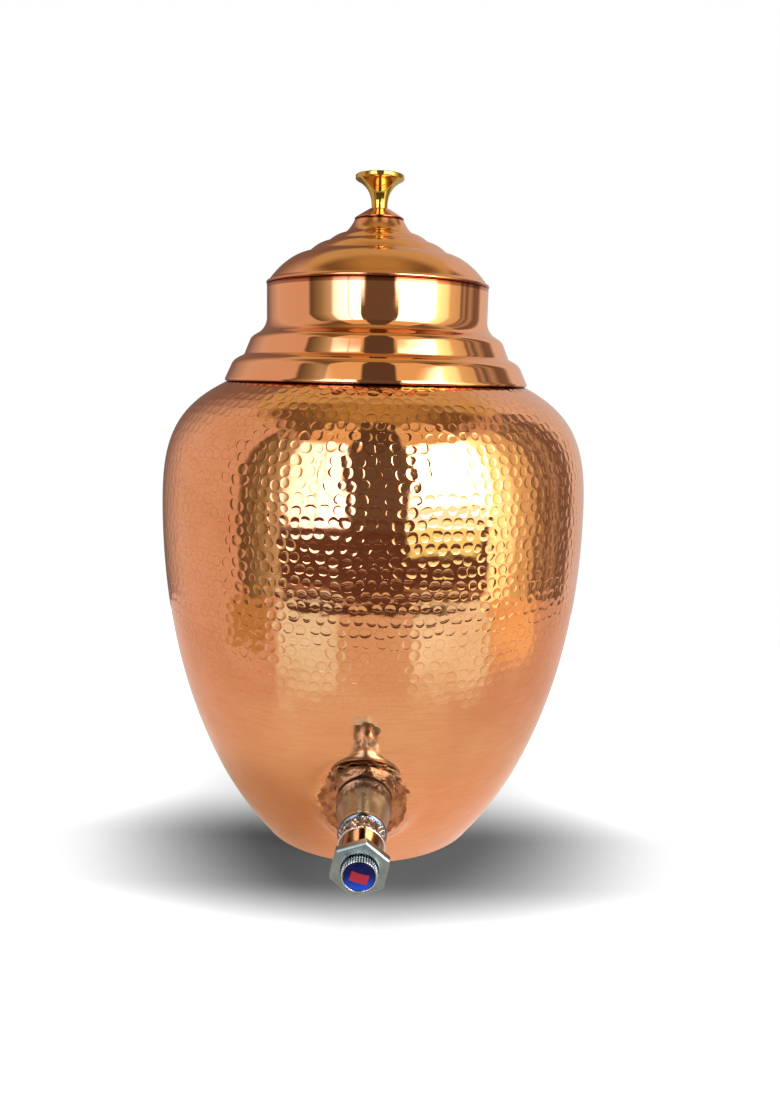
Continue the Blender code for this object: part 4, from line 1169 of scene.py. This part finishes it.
tooth = (around * float(BUTTON_TEETH)).maths("COSINE") * 0.5 + 0.5
# Painted shade: the valleys between the knurl's teeth are darker.
painted_valley_shade = (1.0 - tooth.step(0.25, 0.65)) * from_axis.step(BUTTON_RADIUS - 0.0008, BUTTON_RADIUS - 0.0006)
feed(
    shader,
    base_color=painted_valley_shade.mix(cloud.mix((0.82, 0.84, 0.86), (0.90, 0.91, 0.92)), (0.07, 0.085, 0.11)),
    roughness=cloud * 0.10 + 0.08,
)
button.data.materials.append(knurled_chrome)

dome_share = np.linspace(1, 0, 24)
dome_foot = INSERT_EDGE + 0.0002
dome = np.stack(
    (INSERT_RADIUS * 0.92 * dome_share, dome_foot + (INSERT_CROWN + 0.0001) * (1 - dome_share**2)), axis=1
)
insert_side = (
    (0, INSERT_FOOT),
    (INSERT_RADIUS, INSERT_FOOT),
    (INSERT_RADIUS, INSERT_EDGE),
    (INSERT_RADIUS * 0.93, dome_foot),
)
insert_outline = joined((0, INSERT_FOOT), eased(insert_side, 0.0002), dome)
insert = skin("blue_insert", on_tap(turned(insert_outline, 128)))
blue, shader, sheet = finish(
    "clear_blue_plastic", base_color=(0.02, 0.13, 0.80), roughness=0.06, specular_ior_level=0.12
)
x, _, z = sheet.add("TexCoord", None, None, "Object").split()
centre = TAP_ORIGIN + (INSERT_EDGE + INSERT_CROWN) * TAP_ALONG
level = (z - float(centre[2])) / math.cos(TAP_TILT)
patch_x = (x * math.cos(PATCH_SLOPE) + level * math.sin(PATCH_SLOPE)).maths("ABSOLUTE")
patch_y = (level * math.cos(PATCH_SLOPE) - x * math.sin(PATCH_SLOPE)).maths("ABSOLUTE")
patch = (1.0 - patch_x.step(0.0047, 0.0050)) * (1.0 - patch_y.step(0.0027, 0.0030))
# Painted shade and light: the blue is darker at the top and round the edge and brighter at the bottom, as if
# light gathered low in the dome.
painted_edge_shade = ((x * x + level * level) ** 0.5).step(0.0068, 0.0084)
painted_blue_shading = level.step(-0.0070, 0.0030).mix((0.006, 0.065, 0.50), (0.004, 0.006, 0.06))
painted_blue_shading = (painted_edge_shade * level.step(-0.0050, 0.0020)).mix(painted_blue_shading, (0.004, 0.006, 0.06))
feed(shader, base_color=patch.mix(painted_blue_shading, (0.42, 0.028, 0.05)))
insert.data.materials.append(blue)
button_pieces = ((button, "button_cap", "chrome"), (insert, "button_insert", "blue_plastic"))
for piece, node, slot in button_pieces:
    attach(piece, "push_button")
    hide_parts(node)
